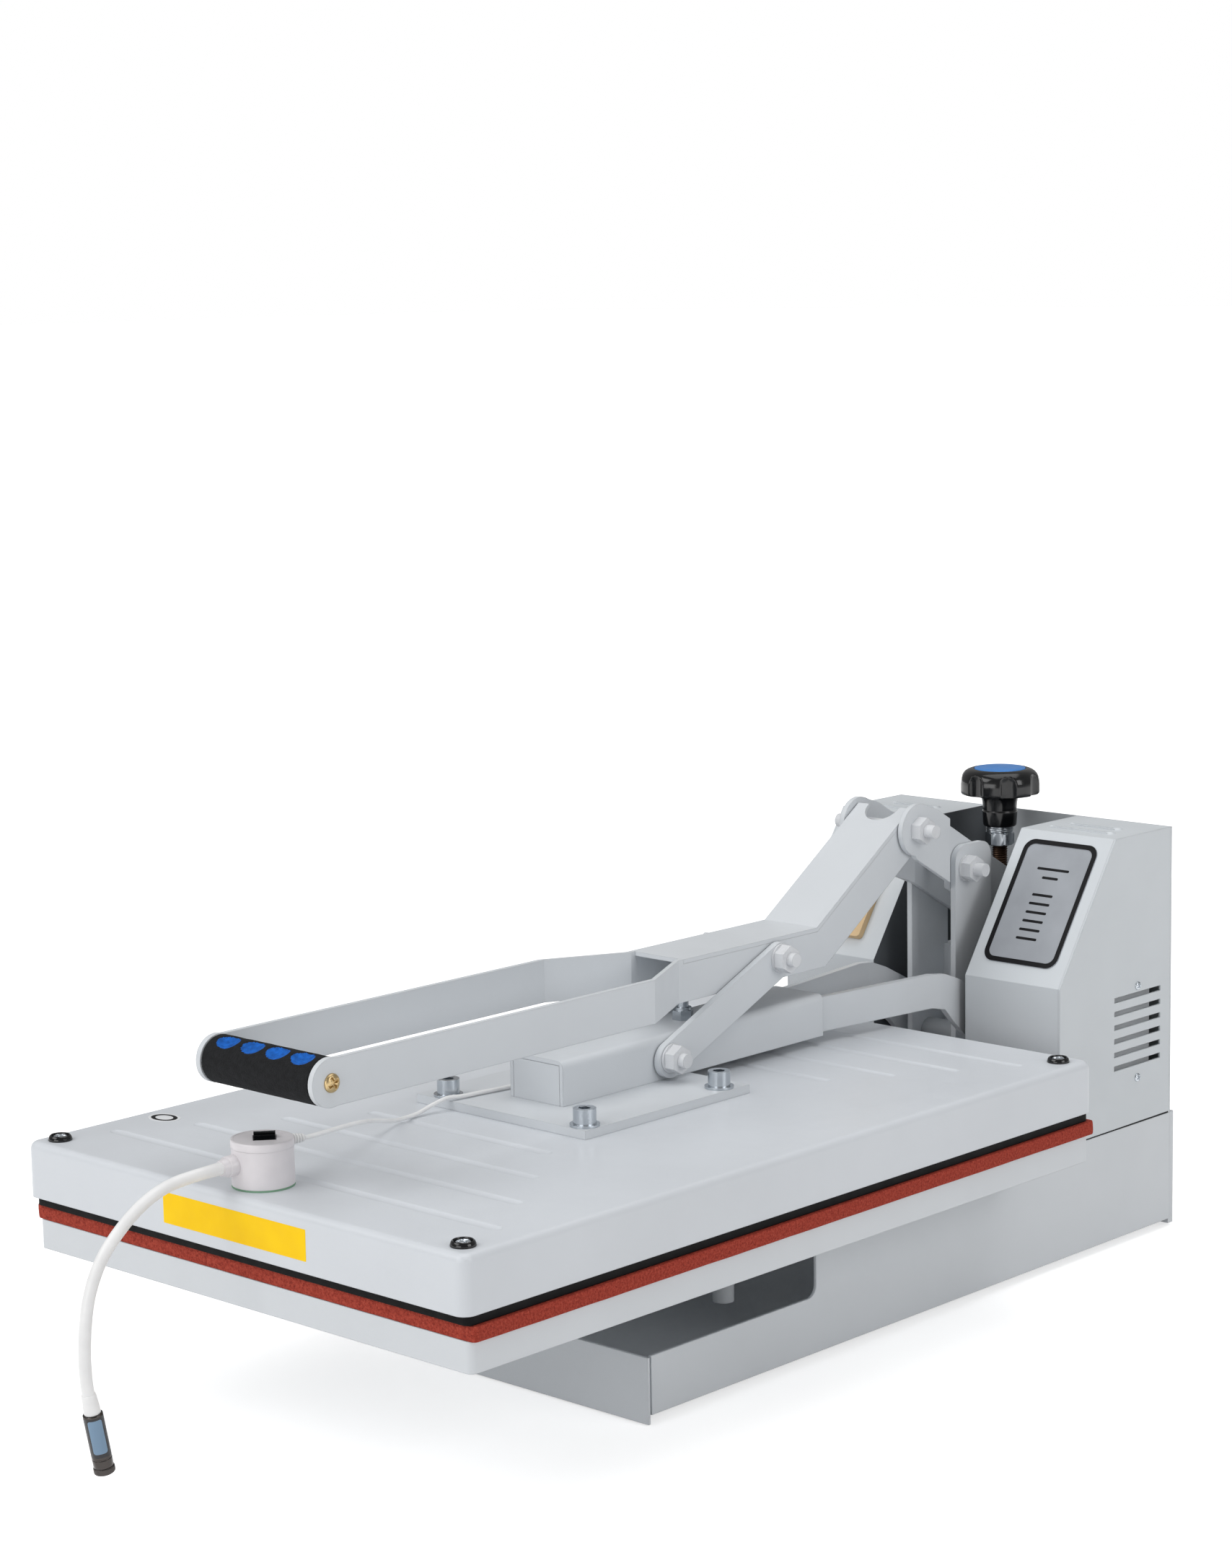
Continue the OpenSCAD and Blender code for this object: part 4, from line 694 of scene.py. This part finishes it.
def make_neck():
    route = [(NECK_X, NECK_Y - a + (3 if k == 0 else 0), NECK_Z - b) for k, (a, b) in enumerate(NECK)]
    path = smoothed(route, 6)
    path.append(NECK_END + END_AXIS * 3.0)
    radii = []
    for k in range(len(path)):
        w = 0.07 * noise.noise(Vector((k * 0.21, 0, 0))) + 0.05 * noise.noise(Vector((k * 0.9, 4, 0)))
        near = max(0.0, 1 - k / 10)
        radii.append(3.72 + w + 0.25 * near)
    v, f = tube(path, radii, 28)
    add("neck_sleeving", v, f, M["hose"], "arm", "hose_white", ["gooseneck"], 60)
    sleeve = [(3.6, -0.5), (4.0, -0.5), (4.25, -0.1), (4.45, 1.2), (4.75, 6.0), (5.0, 10.6), (5.05, 11.4),
              (4.85, 11.9), (3.6, 12.0)]
    v, f = lathe(sleeve, NECK_END, END_AXIS, 40)
    add("shrink_sleeve", v, f, M["hose"], "arm", "hose_white", ["laser_sleeve"], 50)

    at = NECK_END + END_AXIS * 12.0
    barrel = [(2.0, 0), (5.6, 0), (5.9, 0.25), (6.0, 0.6), (6.0, 27.8), (5.75, 28.1), (5.75, 28.6),
              (6.0, 28.9), (6.0, 33.5), (5.8, 34.0), (2.0, 34.0)]
    v, f = lathe(barrel, at, END_AXIS, 64)
    add("laser_barrel", v, f, M["chrome"], "arm", "chrome", ["laser_module"], 35)

    def knurl(r, t, h):
        return r - (0.22 if r > 6.1 else 0.0) * (0.5 + 0.5 * math.cos(t * 40))

    cap_at = at + END_AXIS * 34.1
    cap = [(2.4, 2.0), (2.4, 3.9), (2.8, 4.0), (5.9, 4.0), (6.25, 3.7), (6.4, 3.3), (6.4, 0.7), (6.2, 0.2),
           (5.9, 0.0), (2.0, 0.0)]
    v, f = lathe(cap, cap_at, END_AXIS, 200, knurl)
    add("focus_cap", v, f, M["chrome"], "laser_cap", "chrome", ["laser_cap"], 25)

    x, y, z = basis(END_AXIS)
    toward = Vector((0.55, -0.85, 0.0))
    toward = (toward - z * toward.dot(z)).normalized()
    side = z.cross(toward)

    def patch(name, r, a0, a1, h0, h1, material, round_r=0.0):
        """A thin sheet round part of the barrel, with rounded corners if asked."""
        n, m = 28, 20
        grid = []
        for i in range(m + 1):
            row = []
            for j in range(n + 1):
                a = a0 + (a1 - a0) * j / n
                h = h0 + (h1 - h0) * i / m
                if round_r:
                    u = min(j / n, 1 - j / n) * (a1 - a0) * r
                    w = min(i / m, 1 - i / m) * (h1 - h0)
                    if u < round_r and w < round_r:
                        d = math.hypot(round_r - u, round_r - w)
                        if d > round_r:
                            push = (d - round_r) / d
                            du, dw = (round_r - u) * push, (round_r - w) * push
                            a += (du / r) * (1 if j <= n / 2 else -1)
                            h += dw * (1 if i <= m / 2 else -1)
                row.append(at + z * h + toward * (r * math.cos(a)) + side * (r * math.sin(a)))
            grid.append(row)
        inner = [[q - (q - at - z * (q - at).dot(z)).normalized() * 0.12 for q in row] for row in grid]
        verts = [q for row in grid for q in row] + [q for row in inner for q in row]
        w, k = n + 1, (m + 1) * (n + 1)
        faces = []
        for i in range(m):
            for j in range(n):
                q = (i * w + j, i * w + j + 1, (i + 1) * w + j + 1, (i + 1) * w + j)
                faces.append(q)
                faces.append(tuple(c + k for c in reversed(q)))
        rim = [j for j in range(w)] + [i * w + n for i in range(1, m + 1)] \
            + [m * w + j for j in range(n - 1, -1, -1)] + [i * w for i in range(m - 1, 0, -1)]
        for p0, p1 in zip(rim, rim[1:] + rim[:1]):
            faces.append((p0, p1, p1 + k, p0 + k))
        add(name, verts, faces, material, "arm", "plastic_black")

    patch("barrel_wrap", 6.08, -1.75, 0.95, 1.2, 26.5, M["wrap"])
    patch("barrel_label", 6.14, -1.15, 0.35, 2.6, 24.0, M["label_blue"], 1.6)


def make_collar():
    base = LASER_R - 3
    length = 10 - 4.4 + 3
    profile = [(6.6, 0.6), (6.45, length - 0.6), (6.1, length), (5.7, length + 0.1), (5.55, length + 0.8),
               (4.8, length + 4.0), (4.6, length + 4.35), (3.6, length + 4.4)]
    v, f = lathe(profile, (NECK_X, LASER_Y - base, NECK_Z), (0, -1, 0), 48)
    add("neck_collar", v, f, M["white"], "arm", "plastic_white", ["gooseneck_collar"], 40)

    relief = [(0, 18.4), (3.0, 18.4)]
    for k in range(4):
        h = 19.9 + 1.9 * k
        r = 3.35 - 0.27 * k
        relief += [(r - 0.75, h - 0.55), (r, h), (r, h + 0.75), (r - 0.75, h + 1.25)]
    relief += [(1.75, 27.1), (1.4, RELIEF_TIP), (0, RELIEF_TIP)]
    v, f = lathe(relief, (LASER_X, LASER_Y, RELIEF_Z), RELIEF_OUT, 40)
    add("cord_relief", v, f, M["hose"], "arm", "plastic_white", ["strain_relief"], 45)
    band = [(19.05, 200.2), (19.3, 200.25), (19.34, 200.5), (19.28, 204.2), (18.95, 205.0), (18.2, 205.28),
            (17.6, 205.28), (17.5, 205.1), (17.5, 204.6), (19.0, 204.0)]
    v, f = lathe(band + band[:1], (LASER_X, LASER_Y, 0), n=96)
    add("housing_lid", v, f[:-2], M["white"], "arm", "plastic_white", angle=50)


CORD = [(7, -452, 201.3), (2.5, -436, 200), (-4, -417, 198), (-12.5, -397, 194.8), (-22, -378, 190.3),
        (-32, -360, 185), (-40, -344, 180.6), (-46, -330, 178.4), (-48.5, -316, 178.2), (-48, -303, 181.4),
        (-45.5, -291, 184.4), (-43, -280, 183.9), (-41, -264, 183.8), (-38, -246, 183.8), (-36, -232, 184.4),
        (-32, -223, 187.0), (-26, -220, 187.0), (-16, -220, 187.0)]


def make_cord():
    start = Vector((LASER_X, LASER_Y, RELIEF_Z)) + RELIEF_OUT * RELIEF_TIP
    path = smoothed([start, start + Vector((0.8, 2.4, 0))] + CORD, 6)
    v, f = tube(path, 1.4, 16, (0, 0, 1))
    cord = add("pointer_cord", v, f, M["hose"], "arm", "hose_white", ["laser_cord"], 60)


# Insulation inside the cover

def make_wool():
    edge = outline(-188.5, 188.5, -501.5, 76, 6, 9.0, 5)
    z = 148.2
    levels = [(z, 1.5), (z + 1.2, 0.2), (z + 5, 0.0), (z + 8.6, 0.3), (z + 9.8, 1.8)]
    v, f = slab(edge, levels, 1.2)
    wool = add("blanket", v, f, M["wool"], "arm", "insulation", ["insulation_blanket"], 50)


# Plain label on the front, a plain ring sticker and the table on the right box

FRONT_Y = -516.45
STICKER_X, STICKER_Y, STICKER_Z = -176.0, -422.0, 176.0
STICKER_A, STICKER_B = 12.5, 9.0
SLOPE = math.radians(55.379)
VENT_Y0, VENT_Y1, VENT_Z0, VENT_Z1 = 212.0, 271.0, 126.0, 190.0


def make_labels():
    edge = outline(-63, 67, 147.5, 167, 0.6, 400.0, 5)
    v, f = skin([[Vector((a, FRONT_Y + t, b)) for a, b, _, _ in edge] for t in (0, -0.15)])
    add("front_label", v, f, M["yellow"], "arm", "plate_grey")

    rings = []
    for r, h in ((0, 0.16), (0.55, 0.16), (0.6, 0.12), (0.78, 0.12), (0.82, 0.16), (1.0, 0.16), (1.0, -0.02)):
        rings.append([Vector((STICKER_X + STICKER_A * r * math.cos(2 * math.pi * j / 48),
                              STICKER_Y + STICKER_B * r * math.sin(2 * math.pi * j / 48),
                              STICKER_Z + h)) for j in range(48)])
    v, f = skin(rings, False)
    sticker = add("ring_sticker", v, f, [M["sticker"], M["ink"]], "arm", "plastic_white")
    for poly in sticker.data.polygons:
        r = math.hypot((poly.center.x / MM - STICKER_X) / STICKER_A,
                       (poly.center.y / MM - STICKER_Y) / STICKER_B)
        poly.material_index = 1 if 0.5 < r < 0.83 else 0


def make_table_plate():
    """A plain black border and a few plain rows on the bare plate."""
    lo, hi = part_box("conversion_plate")
    mid = (Vector(lo) + Vector(hi)) / 2 / MM
    along = Vector((0, math.cos(SLOPE), math.sin(SLOPE)))
    out = Vector((0, -math.sin(SLOPE), math.cos(SLOPE)))

    def ring(half_w, half_l, r, h):
        return [mid + Vector((a, 0, 0)) + along * b + out * h
                for a, b, _, _ in outline(-half_w, half_w, -half_l, half_l, r, 400.0, 8)]

    v, f = skin([ring(28.6, 45.9, 6, 0.1), ring(28.6, 45.9, 6, 0.42), ring(32.4, 49.6, 9, 0.42),
                 ring(32.4, 49.6, 9, 0.1)], False)
    add("plate_border", v, f, M["ink"], "frame", "plastic_black")
    bars = []
    for k, half in enumerate((14, 7, 9, 9, 9, 9, 9, 9)):
        at = (27, 20, 6, -1, -8, -15, -22, -29)[k]
        x = -1 if k > 1 else 0
        rows = []
        for h in (-0.3, 0.12):
            rows.append([mid + Vector((a + x, 0, 0)) + along * (at + b) + out * h
                         for a, b, _, _ in outline(-half, half, -1.0, 1.0, 0.8, 400.0, 4)])
        bars.append(skin(rows))
    v, f = merge(*bars)
    add("plate_rows", v, f, M["ink"], "frame", "plastic_black")


def make_box_details():
    """The dark joint between box and base, and the light wall seen through the vents."""
    lo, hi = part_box("side_panels")
    x, y0, y1, z0 = hi[0] / MM, lo[1] / MM, hi[1] / MM, lo[2] / MM
    seams = []
    for side in (-1, 1):
        rows = [[Vector((side * (x + h), a, b)) for a, b in
                 ((y0 + 1, z0 + 0.05), (y1 - 1, z0 + 0.05), (y1 - 1, z0 + 1.3), (y0 + 1, z0 + 0.8))]
                for h in (-0.4, 0.12)]
        seams.append(skin(rows))
    v, f = merge(*seams)
    add("box_seam", v, f, M["ink"], "frame", "plastic_black")
    walls = []
    for side in (-1, 1):
        rows = [[Vector((side * (x - h), a, b)) for a, b in
                 ((VENT_Y0, VENT_Z0), (VENT_Y1, VENT_Z0), (VENT_Y1, VENT_Z1), (VENT_Y0, VENT_Z1))]
                for h in (7.0, 6.0)]
        walls.append(skin(rows))
    v, f = merge(*walls)
    add("vent_backing", v, f, M["button"], "frame", "plastic_white")


make_table_plate()
make_box_details()
make_pad()
make_grip()
make_knob()
make_screw()
make_heads()
make_neck()
make_collar()
make_cord()
make_wool()
make_labels()

# Floor, backdrop and light

def studio():
    """A floor that the camera sees as white except in the shadow, a white world and four lamps."""
    floor_m = bpy.data.materials.new("floor")
    floor_m.use_nodes = True
    t = floor_m.node_tree
    b = t.nodes["Principled BSDF"]
    b.inputs["Base Color"].default_value = (0.85, 0.85, 0.85, 1)
    b.inputs["Roughness"].default_value = 0.9
    b.inputs["Specular IOR Level"].default_value = 0.1
    path = t.nodes.new("ShaderNodeLightPath")
    seen = t.nodes.new("ShaderNodeMath")
    seen.operation = "MAXIMUM"
    t.links.new(path.outputs["Is Camera Ray"], seen.inputs[0])
    t.links.new(path.outputs["Is Glossy Ray"], seen.inputs[1])
    place = t.nodes.new("ShaderNodeNewGeometry")
    reach = t.nodes.new("ShaderNodeVectorMath")
    reach.operation = "LENGTH"
    t.links.new(place.outputs["Position"], reach.inputs[0])
    fade = t.nodes.new("ShaderNodeMapRange")
    fade.interpolation_type = "SMOOTHSTEP"
    for key, value in (("From Min", 0.6), ("From Max", 2.6), ("To Min", 0.56), ("To Max", 1.0)):
        fade.inputs[key].default_value = value
    t.links.new(reach.outputs["Value"], fade.inputs["Value"])
    gain = t.nodes.new("ShaderNodeMath")
    gain.operation = "MULTIPLY"
    t.links.new(seen.outputs[0], gain.inputs[0])
    t.links.new(fade.outputs["Result"], gain.inputs[1])
    b.inputs["Emission Color"].default_value = (1, 1, 1, 1)
    t.links.new(gain.outputs[0], b.inputs["Emission Strength"])
    mesh = bpy.data.meshes.new("floor")
    s = 40.0
    mesh.from_pydata([(-s, -s, 0), (s, -s, 0), (s, s, 0), (-s, s, 0)], [], [(0, 1, 2, 3)])
    floor = bpy.data.objects.new("floor", mesh)
    scene.collection.objects.link(floor)
    floor.data.materials.append(floor_m)

    world = bpy.data.worlds.new("world")
    scene.world = world
    world.use_nodes = True
    w = world.node_tree
    bg = w.nodes["Background"]
    bg.inputs["Color"].default_value = (1.0, 1.0, 1.0, 1)
    path = w.nodes.new("ShaderNodeLightPath")
    near = w.nodes.new("ShaderNodeMath")
    near.operation = "MAXIMUM"
    w.links.new(path.outputs["Is Camera Ray"], near.inputs[0])
    w.links.new(path.outputs["Is Transmission Ray"], near.inputs[1])
    level = w.nodes.new("ShaderNodeMapRange")
    level.inputs["To Min"].default_value = 0.32
    level.inputs["To Max"].default_value = 1.0
    w.links.new(near.outputs[0], level.inputs["Value"])
    w.links.new(level.outputs["Result"], bg.inputs["Strength"])

    def lamp(name, at, to, size, power):
        light = bpy.data.lights.new(name, "AREA")
        light.shape = "RECTANGLE"
        light.size, light.size_y = size
        light.energy = power
        obj = bpy.data.objects.new(name, light)
        scene.collection.objects.link(obj)
        obj.location = at
        obj.rotation_euler = (Vector(to) - Vector(at)).to_track_quat("-Z", "Y").to_euler()

    lamp("key", (-1.2, -2.6, 2.6), (0, -0.2, 0.1), (2.6, 1.8), 46)
    lamp("front", (0.4, -3.6, 0.9), (0, 0, 0.15), (2.4, 1.2), 26)
    lamp("top", (0.2, 0.3, 2.8), (0, 0, 0.1), (2.4, 2.4), 30)
    lamp("side", (3.0, 0.2, 1.4), (0, 0, 0.15), (1.6, 1.4), 23)
    scene.view_settings.view_transform = "Standard"


studio()
